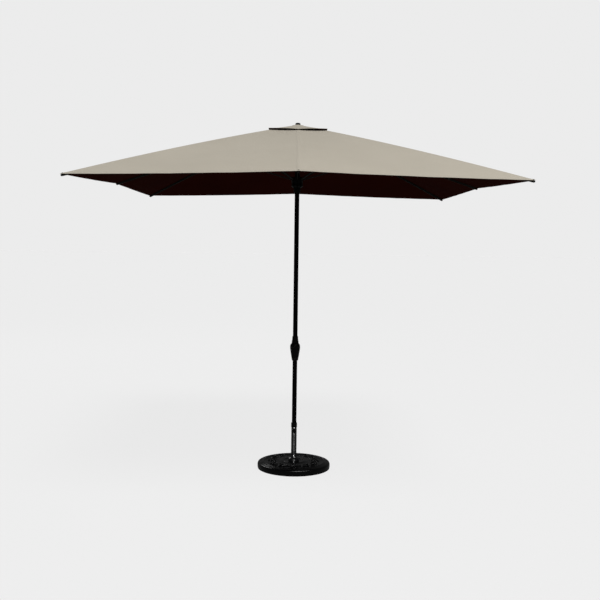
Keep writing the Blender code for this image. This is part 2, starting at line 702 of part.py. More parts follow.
# ---------------------------------------------------------------- runner, ribs, struts, canopy
def build_runner(mast, tips):
    body = empty("runner_body", (0, 0, RUNNER_Z), mast)
    bore = POLE_R + 0.0005
    top, bottom = RUNNER_TOP_Z - RUNNER_Z, RUNNER_BOTTOM_Z - RUNNER_Z
    profile = [
        (RUNNER_R - 0.003, top),
        (RUNNER_R, top - 0.003),
        (RUNNER_R, bottom + 0.012),
        (RUNNER_R - 0.010, bottom),
        (bore, bottom),
        (bore, top),
    ]
    block = turned("runner_block", profile, PLASTIC, ring=True, parent=body)
    cut_slots(block, tips, RUNNER_CORE_R, STRUT_WIDTH / 2 + 0.0006, bottom, top, body)
    boolean(block, ring_wire("runner_groove", HUB_R, WIRE_R + GAP, None, parent=body))
    ring_wire("runner_ring", HUB_R, WIRE_R, STEEL, parent=body)
    low = SLEEVE_BOTTOM_Z - RUNNER_Z
    sleeve = [
        (SLEEVE_R, bottom - GAP),
        (SLEEVE_R, low + 0.003),
        (SLEEVE_R - 0.002, low),
        (bore, low),
        (bore, bottom - GAP),
    ]
    turned("runner_sleeve", sleeve, PLASTIC, ring=True, parent=body)


def build_rib(name, tip, body):
    """An inverted channel: it turns on the hub's wire and carries the strut's pin in its walls."""
    length = hypot(tip.x, tip.y) - HUB_R
    pivot = linkage(name, tip)[0]
    count = 6
    stations = [rib_line(name, tip, (length - RIB_END) / length * i / count)
                for i in range(count + 1)]
    half = RIB_HEIGHT / 2
    top = [(x, z + half) for x, z in stations]
    bottom = [(x, z - half) for x, z in reversed(stations)]
    eye = circle_points((0, 0), half, 7, -pi / 2, -pi)[1:-1]
    holes = [circle_points((0, 0), WIRE_R + 0.0006, 10), circle_points(pivot, PIN_R + GAP, 10)]
    rib = plate("rib_" + name, [top + bottom + eye] + holes, RIB_WIDTH, FRAME_PAINT, parent=body)
    inside = [(x, z + half - RIB_WALL) for x, z in stations]
    inside[0] = (-0.02, inside[0][1])
    inside[-1] = (inside[-1][0] + 0.02, inside[-1][1])
    below = [(x, z - half - 0.005) for x, z in reversed(stations)]
    below[0] = (below[0][0] + 0.02, below[0][1])
    below[-1] = (-0.02, below[-1][1])
    channel = plate("channel_" + name, [inside + below], RIB_WIDTH - 2 * RIB_WALL, None,
                    parent=body)
    boolean(rib, channel)


def build_strut(name, tip, rib_body):
    """A flat bar from its pin in the rib to just short of the runner's wire."""
    pivot, length, _, strut_open, _ = linkage(name, tip)
    body = empty(f"strut_{name}_body", (pivot[0], 0, pivot[1]), rib_body)
    half = STRUT_HEIGHT / 2
    reach = length - STRUT_SHORT - half
    end = (-reach * cos(strut_open), -reach * sin(strut_open))
    strut = plate("strut_" + name, [tapered_bar((0, 0), half, end, half)], STRUT_WIDTH,
                  FRAME_PAINT, parent=body)
    pin_half = RIB_WIDTH / 2
    pin = cylinder("pin_" + name, PIN_R, (0, pin_half, 0), (0, -pin_half, 0), parent=body,
                   steps=PIN_ROUND)
    boolean(strut, pin, "UNION")


def build_folding_frame(mast, tips):
    for index, (name, tip) in enumerate(tips):
        turn = atan2(tip.y, tip.x)
        at = Vector((HUB_R * cos(turn), HUB_R * sin(turn), HUB_Z))
        body = empty(f"rib_{name}_body", at, mast, turn)
        to_local = (Matrix.Translation(at) @ Matrix.Rotation(turn, 4, "Z")).inverted()
        build_rib(name, tip, body)
        build_strut(name, tip, body)
        warped_sheet("gore_" + name, 2, 6, gore_vertex(index, tips), body, to_local)
        if is_corner(name):
            warped_sheet("vent_" + name, 4, 4, vent_vertex(tip), body, to_local)


def build_lift_cord(mast):
    """From the spool up inside the pole, over the pulley and down to the runner's top."""
    middle, way = pulley_centre(), Vector((cos(CORD_AZIMUTH), sin(CORD_AZIMUTH), 0))
    points = [Vector((SPOOL_R, 0, CRANK_Z)), Vector((SPOOL_R, 0, CRANK_Z + 0.02))]
    for i in range(13):
        a = pi * (1 - i / 12)
        points.append(middle + way * SPOOL_R * cos(a) + Vector((0, 0, SPOOL_R * sin(a))))
    last = points[-1]
    points.append(Vector((last.x, last.y, RUNNER_TOP_Z + 0.0005)))
    wire("lift_cord", points, CORD_R, CORD, parent=mast)


# ---------------------------------------------------------------- the umbrella
def build_umbrella():
    tips = rib_tips()
    build_base()
    build_clamp()
    bush_body = empty("bush_body", (0, 0, 0))
    build_bush(bush_body)
    mast = empty("mast_body", (0, 0, 0), bush_body)
    build_pole(mast)
    build_pulley(mast)
    build_hub(mast, tips)
    build_housing(mast)
    build_crank(mast)
    build_runner(mast, tips)
    build_folding_frame(mast, tips)
    build_lift_cord(mast)


build_umbrella()
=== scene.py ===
"""The looks of the patio umbrella: sewn canopy and vent cap, painted frame, crank lift and relief base.

Metres, +Z up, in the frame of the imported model. Places come from the CAD nodes and joints.
"""

import json
from math import asin, atan2, cos, hypot, pi, radians, sin

import bmesh
import bpy
import numpy as np
from mathutils import Euler, Matrix, Vector, noise


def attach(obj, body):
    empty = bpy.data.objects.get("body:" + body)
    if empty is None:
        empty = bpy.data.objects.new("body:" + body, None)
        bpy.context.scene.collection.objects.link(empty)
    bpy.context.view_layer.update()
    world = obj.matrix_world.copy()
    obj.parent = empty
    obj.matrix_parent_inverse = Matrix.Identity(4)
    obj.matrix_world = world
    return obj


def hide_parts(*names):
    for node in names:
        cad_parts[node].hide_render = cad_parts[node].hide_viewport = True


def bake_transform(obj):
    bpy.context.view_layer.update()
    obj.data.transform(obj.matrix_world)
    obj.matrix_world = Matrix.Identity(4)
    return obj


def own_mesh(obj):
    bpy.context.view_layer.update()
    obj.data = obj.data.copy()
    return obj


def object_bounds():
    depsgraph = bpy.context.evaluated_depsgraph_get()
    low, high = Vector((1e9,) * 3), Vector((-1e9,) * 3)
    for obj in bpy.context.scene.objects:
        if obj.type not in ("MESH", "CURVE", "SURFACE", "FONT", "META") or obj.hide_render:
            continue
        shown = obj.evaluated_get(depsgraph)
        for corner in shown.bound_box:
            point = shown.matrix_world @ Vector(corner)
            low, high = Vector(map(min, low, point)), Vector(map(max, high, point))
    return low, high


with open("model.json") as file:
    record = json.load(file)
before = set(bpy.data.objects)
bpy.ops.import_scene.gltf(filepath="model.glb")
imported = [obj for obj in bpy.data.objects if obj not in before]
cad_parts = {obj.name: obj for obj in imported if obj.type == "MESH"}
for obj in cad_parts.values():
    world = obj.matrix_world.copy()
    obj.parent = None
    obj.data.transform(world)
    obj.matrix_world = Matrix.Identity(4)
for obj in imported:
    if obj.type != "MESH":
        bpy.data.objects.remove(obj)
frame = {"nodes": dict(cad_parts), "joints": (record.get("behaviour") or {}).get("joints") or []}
CAD_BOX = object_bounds()
JOINTS = {joint["name"]: joint for joint in frame["joints"]}
RIBS = ["right", "back_right", "back", "back_left", "left", "front_left", "front", "front_right"]

# Cloth
CLOTH, WEAVE, STITCH = 0.0012, 0.0016, 0.0042  # thickness, pitch of the threads and of the stitches
TAPE_HALF, TAPE_RISE = 0.0090, 0.0004  # seam band over each rib
HEM, HEM_RISE = 0.0240, 0.0008
VENT_BAND = HEM * 0.7  # hem of the vent cap
VENT_HEM, VENT_DROOP = 0.0150, 0.0035
PANEL_SAG, RIM_SCALLOP, WRINKLE = 0.010, 0.006, 0.0016
GORE_STEPS, GORE_ROWS = 16, 44
KEEP = {"corner": 0.22, "end": 0.15, "side": 0.155}  # width of a folded gore, as a share
VENT_KEEP = 0.27

# Render view
PHOTO_LENS = 54.84
CAMERA_AT = (-0.0257, -6.3366, 1.660)
CAMERA_PITCH, CAMERA_YAW, CAMERA_ROLL = radians(-4.309), radians(-0.503), radians(0.758)

# Light: radiance of the background and of the room, then the sun's strength, height and way
PAPER, ROOM = 0.838, 0.08
SUN, SUN_SOFTNESS, SUN_RISE, SUN_TURN = 2.12, radians(24), radians(55), radians(20)

ROUND = 72  # sides of a turned piece
GAP = 0.0003  # between pieces that touch


def linked(name, data):
    obj = bpy.data.objects.new(name, data)
    bpy.context.scene.collection.objects.link(obj)
    return obj


def mesh_of(shape, name):
    mesh = bpy.data.meshes.new(name)
    shape.to_mesh(mesh)
    shape.free()
    return mesh


def soften(mesh, angle=38):
    mesh.shade_smooth()
    mesh.set_sharp_from_angle(angle=radians(angle))
    return mesh


def applied(obj):
    """The object's mesh with its modifiers applied."""
    graph = bpy.context.evaluated_depsgraph_get()
    return bpy.data.meshes.new_from_object(obj.evaluated_get(graph))


def facing(at, way):
    """Places local Z along this way."""
    return Matrix.Translation(at) @ way.to_track_quat("Z", "Y").to_matrix().to_4x4()


# ---------------------------------------------------------------- camera, light and floor
def make_camera():
    data = bpy.data.cameras.new("camera")
    data.lens = PHOTO_LENS
    data.sensor_width = 36
    camera = linked("camera", data)
    turn = (
        Matrix.Rotation(CAMERA_YAW, 4, "Z")
        @ Matrix.Rotation(pi / 2 + CAMERA_PITCH, 4, "X")
        @ Matrix.Rotation(CAMERA_ROLL, 4, "Z")
    )
    camera.matrix_world = Matrix.Translation(CAMERA_AT) @ turn
    bpy.context.scene.camera = camera


def soft_box(name, at, target, size, power):
    data = bpy.data.lights.new(name, "AREA")
    data.shape = "RECTANGLE"
    data.size, data.size_y = size
    data.energy = power
    light = linked(name, data)
    light.location = at
    light.rotation_euler = (Vector(target) - Vector(at)).to_track_quat("-Z", "Y").to_euler()
    light.visible_camera = False
    return light


def make_studio():
    """A pale room: paper to look at, dimmer for what it lights, so that black pieces stay black."""
    world = bpy.data.worlds.new("studio")
    world.use_nodes = True
    tree = world.node_tree
    seen = add(tree, "LightPath").outputs["Is Camera Ray"]
    room = mixed(tree, seen, (ROOM, ROOM, ROOM, 1), (PAPER, PAPER, PAPER, 1))
    link(tree, room, tree.nodes["Background"].inputs["Color"])
    bpy.context.scene.world = world
    bpy.context.scene.view_settings.view_transform = "Standard"
    data = bpy.data.lights.new("key", "SUN")
    data.energy = SUN
    data.angle = SUN_SOFTNESS
    key = linked("key", data)
    key.rotation_euler = Euler((pi / 2 - SUN_RISE, 0, SUN_TURN))
    soft_box("bank", (2.2, -4.6, 4.6), (0, 0, 1.2), (6.0, 0.35), 125)
    soft_box("back", (-4.5, 6.0, 6.0), (0, 0, 1.2), (3, 3), 120)
    shape = bmesh.new()
    bmesh.ops.create_grid(shape, x_segments=1, y_segments=1, size=60)
    mesh = mesh_of(shape, "floor")
    floor = linked("floor", mesh)
    floor.location.z = CAD_BOX[0][2] - 0.0005
    material, shader, tree = blank_material("floor_paper")
    grain = add(tree, "TexNoise", {"Scale": 3.0, "Detail": 3.0})
    tone = add(tree, "MapRange", {"Value": grain.outputs["Fac"], "To Min": 0.89, "To Max": 0.91})
    colour = add(tree, "CombineColor", {i: tone.outputs[0] for i in range(3)})
    link(tree, colour.outputs[0], shader.inputs["Base Color"])
    shader.inputs["Roughness"].default_value = 1.0
    shader.inputs["Specular IOR Level"].default_value = 0.0
    shader.inputs["Alpha"].default_value = 0.07
    shader.inputs["Emission Color"].default_value = (1, 1, 1, 1)
    shader.inputs["Emission Strength"].default_value = 0.28
    mesh.materials.append(material)


# ---------------------------------------------------------------- material helpers
def blank_material(name):
    material = bpy.data.materials.new(name)
    material.use_nodes = True
    tree = material.node_tree
    return material, tree.nodes["Principled BSDF"], tree


def link(tree, output, socket):
    tree.links.new(output, socket)


def add(tree, kind, inputs=None, **settings):
    """A shader node with its settings and inputs: an input is a number, a colour or an output."""
    made = tree.nodes.new("ShaderNode" + kind)
    for key, value in settings.items():
        setattr(made, key, value)
    for key, value in (inputs or {}).items():
        if isinstance(value, bpy.types.NodeSocket):
            tree.links.new(value, made.inputs[key])
        else:
            made.inputs[key].default_value = value
    return made


def maths(tree, operation, first, second=0.0, third=None):
    inputs = {0: first, 1: second}
    if third is not None:
        inputs[2] = third
    return add(tree, "Math", inputs, operation=operation).outputs[0]


def spread(tree, value, low, high, to_low=0.0, to_high=1.0):
    inputs = {"Value": value, "From Min": low, "From Max": high, "To Min": to_low, "To Max": to_high}
    return add(tree, "MapRange", inputs).outputs[0]


def mixed(tree, share, first, second, blend="MIX"):
    node = add(tree, "Mix", {0: share, 6: first, 7: second}, data_type="RGBA", blend_type=blend)
    return node.outputs[2]


def speckle(tree, scale, detail=3.0, roughness=0.5, coordinates=None):
    inputs = {"Scale": scale, "Detail": detail, "Roughness": roughness}
    if coordinates is not None:
        inputs["Vector"] = coordinates
    return add(tree, "TexNoise", inputs).outputs["Fac"]


def object_place(tree):
    return add(tree, "TexCoord").outputs["Object"]


def dress(tree, shader, colour, roughness, height, distance, strength, gloss=None):
    """Joins the finished colour, roughness and relief to the shader."""
    link(tree, colour, shader.inputs["Base Color"])
    link(tree, roughness, shader.inputs["Roughness"])
    if gloss is not None:
        shader.inputs["Specular IOR Level"].default_value = gloss
    bump = add(tree, "Bump", {"Height": height, "Distance": distance, "Strength": strength})
    link(tree, bump.outputs[0], shader.inputs["Normal"])


# ---------------------------------------------------------------- materials
def cloth_material(name, colour, shade, thread, sheen, gloss, roughness):
    """Woven polyester on metric UVs: x across from the seam, y outwards. Stitch rows by attributes."""
    material, shader, tree = blank_material(name)
    place = add(tree, "UVMap", uv_map="cloth").outputs[0]
    split = add(tree, "SeparateXYZ", {0: place})
    across, along = split.outputs[0], split.outputs[1]
    warp = maths(tree, "SINE", maths(tree, "MULTIPLY", across, 2 * pi / WEAVE))
    weft = maths(tree, "SINE", maths(tree, "MULTIPLY", along, 2 * pi / WEAVE))
    weave = maths(tree, "MULTIPLY", warp, weft)
    stretch_x = add(tree, "Mapping", {0: place, 3: (60, 900, 1)}).outputs[0]
    stretch_y = add(tree, "Mapping", {0: place, 3: (900, 60, 1)}).outputs[0]
    slub = maths(tree, "ADD", speckle(tree, 1.0, 2.0, 0.5, stretch_x),
                 speckle(tree, 1.0, 2.0, 0.5, stretch_y))
    broad = speckle(tree, 2.2, 4.0, 0.55, place)
    fine = speckle(tree, 55.0, 3.0, 0.6, place)
    tone = spread(tree, broad, 0.3, 0.7, 0.0, 0.55)
    base = mixed(tree, tone, colour, shade)
    base = mixed(tree, spread(tree, slub, 0.7, 1.3, 0.0, 0.16), base, shade)
    base = mixed(tree, spread(tree, fine, 0.35, 0.7, 0.0, 0.10), base, shade)
    seam = add(tree, "Attribute", attribute_name="seam").outputs["Fac"]
    rim = add(tree, "Attribute", attribute_name="rim").outputs["Fac"]
    stitches = maths(
        tree,
        "MAXIMUM",
        stitch_row(tree, seam, TAPE_HALF * 0.72, along),
        stitch_row(tree, rim, HEM * 0.82, across),
    )
    # painted shade: a darker band along the edges of the seam tape and of the hems
    shadow = maths(tree, "MAXIMUM", edge_shadow(tree, seam, TAPE_HALF), edge_shadow(tree, rim, HEM))
    base = mixed(tree, maths(tree, "MULTIPLY", shadow, 0.05), base, tuple(c * 0.6 for c in shade[:3]) + (1,))
    # painted highlight: the cloth within about 11 mm of a hem's edge is drawn towards the thread colour, as
    # if the rolled edge caught the light
    base = mixed(tree, spread(tree, rim, 0.005, 0.011, 0.65, 0.0), base, thread)
    base = mixed(tree, stitches, base, thread)
    rough = spread(tree, fine, 0.3, 0.7, roughness - 0.05, roughness + 0.05)
    shader.inputs["Sheen Weight"].default_value = sheen
    shader.inputs["Sheen Roughness"].default_value = 0.5
    height = maths(tree, "MULTIPLY", weave, 0.18)
    height = maths(tree, "MULTIPLY_ADD", slub, 0.5, height)
    height = maths(tree, "MULTIPLY_ADD", stitches, 1.6, height)
    dress(tree, shader, base, rough, height, 0.0004, 0.8, gloss)
    return material


def stitch_row(tree, distance, at, along):
    """A dashed line of thread, at this distance from an edge."""
    off = maths(tree, "ABSOLUTE", maths(tree, "SUBTRACT", distance, at))
    line = spread(tree, off, 0.0004, 0.0009, 1.0, 0.0)
    dash = maths(tree, "FRACT", maths(tree, "MULTIPLY", along, 1 / STITCH))
    gap = maths(tree, "COMPARE", dash, 0.5, 0.36)
    return maths(tree, "MULTIPLY", line, gap)


def edge_shadow(tree, distance, at):
    """Painted shade along the edge of a doubled band, where the band's step would shade the cloth."""
    off = maths(tree, "ABSOLUTE", maths(tree, "SUBTRACT", distance, at))
    return spread(tree, off, 0.0, 0.0035, 1.0, 0.0)


def painted_metal(name, colour, worn, roughness, gloss):
    """Powder coat: orange peel, faint rubs and dust."""
    material, shader, tree = blank_material(name)
    place = object_place(tree)
    peel = speckle(tree, 900.0, 2.0, 0.5, place)
    rubs = speckle(tree, 38.0, 6.0, 0.65, place)
    lengthwise = add(tree, "Mapping", {0: place, 3: (260, 260, 9)}).outputs[0]
    scratches = speckle(tree, 1.0, 4.0, 0.7, lengthwise)
    wear = maths(tree, "MULTIPLY", spread(tree, rubs, 0.58, 0.80), spread(tree, scratches, 0.5, 0.7))
    base = mixed(tree, maths(tree, "MULTIPLY", wear, 0.55), colour, worn)
    rough = spread(tree, rubs, 0.3, 0.75, roughness - 0.06, roughness + 0.12)
    height = maths(tree, "MULTIPLY_ADD", scratches, -0.15, peel)
    dress(tree, shader, base, rough, height, 0.00012, 0.6, gloss)
    return material


def moulded_plastic(name, colour, dusty, roughness, gloss, grain=700.0):
    """Spark-eroded moulded plastic with a fine pebble and a little dust."""
    material, shader, tree = blank_material(name)
    place = object_place(tree)
    pebble = add(tree, "TexVoronoi", {"Vector": place, "Scale": grain}).outputs["Distance"]
    cloud = speckle(tree, 24.0, 5.0, 0.6, place)
    fine = speckle(tree, 240.0, 3.0, 0.6, place)
    base = mixed(tree, spread(tree, cloud, 0.45, 0.8, 0.0, 0.35), colour, dusty)
    base = mixed(tree, spread(tree, fine, 0.6, 0.8, 0.0, 0.15), base, dusty)
    rough = spread(tree, cloud, 0.3, 0.7, roughness - 0.05, roughness + 0.08)
    height = maths(tree, "MULTIPLY_ADD", fine, 0.4, pebble)
    dress(tree, shader, base, rough, height, 0.00010, 0.5, gloss)
    return material


def bare_steel(name):
    material, shader, tree = blank_material(name)
    place = object_place(tree)
    drawn = add(tree, "Mapping", {0: place, 3: (900, 900, 60)}).outputs[0]
    lines = speckle(tree, 1.0, 3.0, 0.6, drawn)
    stain = speckle(tree, 90.0, 4.0, 0.6, place)
    base = mixed(tree, spread(tree, stain, 0.45, 0.75), (0.56, 0.56, 0.57, 1), (0.36, 0.34, 0.32, 1))
    shader.inputs["Metallic"].default_value = 1.0
    dress(tree, shader, base, spread(tree, lines, 0.3, 0.7, 0.26, 0.45), lines, 0.00005, 0.5)
    return material


def concrete_material():
    material, shader, tree = blank_material("concrete")
    place = object_place(tree)
    grit = add(tree, "TexVoronoi", {"Vector": place, "Scale": 160.0}).outputs["Distance"]
    cloud = speckle(tree, 18.0, 6.0, 0.6, place)
    base = mixed(tree, cloud, (0.30, 0.29, 0.27, 1), (0.46, 0.45, 0.42, 1))
    base = mixed(tree, spread(tree, grit, 0.0, 0.25, 0.35, 0.0), base, (0.20, 0.19, 0.18, 1))
    rough = spread(tree, cloud, 0.3, 0.7, 0.82, 0.95)
    dress(tree, shader, base, rough, maths(tree, "MULTIPLY_ADD", cloud, 0.6, grit), 0.0008, 0.7)
    return material


def cord_material():
    """Braided cord: two sets of strands that cross."""
    material, shader, tree = blank_material("braided_cord")
    place = object_place(tree)
    split = add(tree, "SeparateXYZ", {0: place})
    rise = maths(tree, "MULTIPLY", split.outputs[2], 2 * pi / 0.0024)
    side = maths(tree, "MULTIPLY", maths(tree, "ADD", split.outputs[0], split.outputs[1]), 1800.0)
    first = maths(tree, "SINE", maths(tree, "ADD", rise, side))
    second = maths(tree, "SINE", maths(tree, "SUBTRACT", rise, side))
    braid = maths(tree, "MAXIMUM", first, second)
    # painted shade: the cord is darker where the braid is low, in the grooves between the strands
    base = mixed(tree, spread(tree, braid, -0.2, 1.0), (0.03, 0.03, 0.03, 1), (0.11, 0.11, 0.11, 1))
    dress(tree, shader, base, spread(tree, braid, -1.0, 1.0, 0.9, 0.75), braid, 0.0003, 0.8)
    return material


make_camera()
make_studio()
TOP_CLOTH = cloth_material("canopy_top", (0.465, 0.425, 0.352, 1), (0.405, 0.370, 0.302, 1),
                           (0.50, 0.46, 0.385, 1), 0.15, 0.08, 0.88)
# painted shade: the underside cloth is near black with a red-brown tint, standing for the shade under the
# canopy
UNDERSIDE_SHADE_CLOTH = cloth_material("canopy_underside", (0.060, 0.0085, 0.0040, 1), (0.028, 0.0038, 0.0020, 1),
                             (0.062, 0.018, 0.012, 1), 0.0, 0.01, 0.92)
POLE_PAINT = painted_metal("pole_powder_coat", (0.0015, 0.0015, 0.0014, 1), (0.008, 0.0077, 0.0072, 1),
                           0.50, 0.06)
STEM_PAINT = painted_metal("stem_gloss_coat", (0.0013, 0.0013, 0.0013, 1), (0.008, 0.0077, 0.0072, 1),
                           0.22, 0.8)
FRAME_PAINT = painted_metal("frame_powder_coat", (0.0240, 0.0230, 0.0180, 1), (0.055, 0.051, 0.042, 1),
                            0.48, 0.30)
PLASTIC = moulded_plastic("moulded_plastic", (0.0016, 0.0016, 0.0017, 1), (0.006, 0.0058, 0.0055, 1), 0.42,
                          0.17)
BASE_RESIN = moulded_plastic("base_resin", (0.0012, 0.0013, 0.0015, 1), (0.0045, 0.0047, 0.0050, 1), 0.22,
                             0.22, 260.0)
COLLAR_RESIN = moulded_plastic("collar_resin", (0.0015, 0.0016, 0.0018, 1), (0.0050, 0.0052, 0.0055, 1),
                               0.20, 0.75, 260.0)
STEEL = bare_steel("bare_steel")
CONCRETE = concrete_material()
CORD = cord_material()


# ---------------------------------------------------------------- mesh helpers
def place_object(name, mesh, body, materials, stands_for=()):
    for material in materials:
        mesh.materials.append(material)
    obj = linked(name, mesh)
    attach(obj, body)
    if stands_for:
        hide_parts(*stands_for)
    return obj


def rounded(points, radius, steps=4, closed=True):
    """A polygon's corners turned into arcs, each no larger than its sides allow."""
    made = []
    count = len(points)
    for i, corner in enumerate(points):
        if not closed and i in (0, count - 1):
            made.append(tuple(corner))
            continue
        corner = Vector(corner)
        before, after = Vector(points[i - 1]) - corner, Vector(points[(i + 1) % count]) - corner
        if before.length < 1e-7 or after.length < 1e-7:
            continue
        angle = before.angle(after)
        if angle > radians(172) or corner.x < 1e-6:
            made.append(tuple(corner))
            continue
        cut = min(radius / np.tan(angle / 2), 0.45 * before.length, 0.45 * after.length)
        start, end = corner + before.normalized() * cut, corner + after.normalized() * cut
        for k in range(steps + 1):
            t = k / steps
            made.append(tuple((1 - t) ** 2 * start + 2 * t * (1 - t) * corner + t**2 * end))
    return made


def lathe_mesh(name, profile, steps=ROUND, ring=True):
    """A (radius, height) profile, top to bottom down its outer side, turned about local Z."""
    shape = bmesh.new()
    rows = []
    for r, z in profile:
        if r < 1e-6:
            rows.append([shape.verts.new((0, 0, z))])
            continue
        angles = [2 * pi * i / steps for i in range(steps)]
        rows.append([shape.verts.new((r * cos(a), r * sin(a), z)) for a in angles])
    pairs = list(zip(rows, rows[1:]))
    if ring:
        pairs.append((rows[-1], rows[0]))
    for upper, lower in pairs:
        for i in range(steps):
            j = (i + 1) % steps
            corners = [upper[i % len(upper)], lower[i % len(lower)], lower[j % len(lower)],
                       upper[j % len(upper)]]
            corners = list(dict.fromkeys(corners))
            if len(corners) > 2:
                shape.faces.new(corners)
    bmesh.ops.recalc_face_normals(shape, faces=shape.faces)
    return soften(mesh_of(shape, name))


def lathe(name, profile, body, material, stands_for=(), ring=True, radius=0.0012, at=None):
    """A turned piece with rounded corners, optionally placed by a matrix."""
    mesh = lathe_mesh(name, rounded(profile, radius, closed=ring), ring=ring)
    if at is not None:
        mesh.transform(at)
    return place_object(name, mesh, body, [material], stands_for)


def solid_box(low, high, turn=0.0):
    shape = bmesh.new()
    bmesh.ops.create_cube(shape, size=1)
    middle, size = (Vector(low) + Vector(high)) / 2, Vector(high) - Vector(low)
    bmesh.ops.scale(shape, vec=size, verts=shape.verts)
    bmesh.ops.translate(shape, vec=middle, verts=shape.verts)
    bmesh.ops.rotate(shape, matrix=Matrix.Rotation(turn, 3, "Z"), verts=shape.verts)
    return mesh_of(shape, "cutter")


def cut(mesh, cutters, operation="DIFFERENCE"):
    """The mesh with each cutter mesh taken away or joined on, as a new mesh."""
    target = linked("target", mesh)
    tools = []
    for cutter in cutters:
        tool = linked("tool", cutter)
        step = target.modifiers.new("Cut", "BOOLEAN")
        step.operation = operation
        step.object = tool
        tools.append(tool)
    made = applied(target)
    for obj in [target, *tools]:
        bpy.data.objects.remove(obj)
    return soften(made)


def rod_mesh(radius, start, end, steps=24, edge=0.0):
    """A rod between two points, its end edges rounded."""
    way = Vector(end) - Vector(start)
    length = way.length
    profile = [(0, length), (radius, length), (radius, 0), (0, 0)]
    mesh = lathe_mesh("rod", rounded(profile, edge or radius * 0.2, 3, closed=False), steps, ring=False)
    mesh.transform(facing(start, way))
    return mesh


def cross_rod(radius, z, start, end, x=0.0, steps=24, edge=0.0):
    """A rod along Y."""
    return rod_mesh(radius, (x, start, z), (x, end, z), steps, edge)


def joined(name, meshes):
    shape = bmesh.new()
    for mesh in meshes:
        shape.from_mesh(mesh)
    return soften(mesh_of(shape, name))


def tube_mesh(points, radii, sides=12, flat=1.0):
    """A tube through these points with a radius at each; flat scales its section's height in Z."""
    points = [Vector(p) for p in points]
    shape = bmesh.new()
    normal = (points[1] - points[0]).orthogonal().normalized()
    rings = []
    for i, point in enumerate(points):
        way = (points[min(i + 1, len(points) - 1)] - points[max(i - 1, 0)]).normalized()
        normal = (normal - way * normal.dot(way)).normalized()
        across = way.cross(normal)
        ring = []
        for k in range(sides):
            a = 2 * pi * k / sides
            off = (normal * cos(a) + across * sin(a)) * radii[i]
            off.z *= flat
            ring.append(shape.verts.new(point + off))
        rings.append(ring)
    for first, second in zip(rings, rings[1:]):
        for k in range(sides):
            shape.faces.new([first[k], first[(k + 1) % sides], second[(k + 1) % sides], second[k]])
    shape.faces.new(rings[0][::-1])
    shape.faces.new(rings[-1])
    bmesh.ops.recalc_face_normals(shape, faces=shape.faces)
    return soften(mesh_of(shape, "tube"))


def drop_mesh(size, at, turn=0.0, point=0.0, steps=20):
    """A rounded bump: a ball of this size, drawn to a point at its +X end."""
    shape = bmesh.new()
    bmesh.ops.create_uvsphere(shape, u_segments=steps, v_segments=steps // 2, radius=1)
    for vertex in shape.verts:
        taper = 1 - point * max(0.0, vertex.co.x)
        vertex.co.y *= taper
        vertex.co.z *= taper
    bmesh.ops.scale(shape, vec=size, verts=shape.verts)
    bmesh.ops.rotate(shape, matrix=Matrix.Rotation(turn, 3, "Z"), verts=shape.verts)
    bmesh.ops.translate(shape, vec=at, verts=shape.verts)
    mesh = mesh_of(shape, "drop")
    mesh.shade_smooth()
    return mesh


def outline_mesh(outline, thick, edge=0.0012, steps=3):
    """A flat outline in X and Z, thick along Y about zero, with rounded edges."""
    shape = bmesh.new()
    face = shape.faces.new([shape.verts.new((x, -thick / 2, z)) for x, z in outline])
    solid = bmesh.ops.extrude_face_region(shape, geom=[face])
    moved = [g for g in solid["geom"] if isinstance(g, bmesh.types.BMVert)]
    bmesh.ops.translate(shape, vec=(0, thick, 0), verts=moved)
    bmesh.ops.recalc_face_normals(shape, faces=shape.faces)
    rims = [e for e in shape.edges if abs(e.verts[0].co.y - e.verts[1].co.y) < 1e-9]
    bmesh.ops.bevel(shape, geom=rims, offset=edge, segments=steps, profile=0.5, affect="EDGES",
                    clamp_overlap=True)
    return soften(mesh_of(shape, "outline"))


# ---------------------------------------------------------------- canopy
class Rib:
    """Where the canopy's cloth crosses one rib, read from its CAD gore and its hinge."""

    NEAR, STATION = 0.001, 0.05  # from the rib's plane; between rows of the CAD gore

    def __init__(self, name):
        hinge = JOINTS[f"rib_{name}_fold"]
        self.name = name
        self.side = Vector(hinge["axis"])
        pivot = Vector(hinge["pos_m"])
        self.way = Vector((pivot.x, pivot.y, 0)).normalized()
        self.hub = pivot.dot(self.way)
        tops = {}
        for vertex in frame["nodes"]["gore_" + name].data.vertices:
            if abs(vertex.co.dot(self.side)) > self.NEAR:
                continue
            reach = vertex.co.dot(self.way)
            row = round(reach / self.STATION)
            tops[row] = max(tops.get(row, (0, 0)), (vertex.co.z, reach))
        heights, reaches = zip(*tops.values())
        self.height = np.polynomial.Polynomial.fit(reaches, heights, 2)
        self.end = max(reaches)
        self.start = (min(reaches) - self.hub) / (self.end - self.hub)

    def at(self, u):
        """A point of the cloth's top over the rib, from the hub's ring (0) to the rim (1)."""
        reach = self.hub + u * (self.end - self.hub)
        return self.way * reach + Vector((0, 0, float(self.height(reach))))

    def kind(self):
        if "_" in self.name:
            return "corner"
        return "end" if self.name in ("front", "back") else "side"


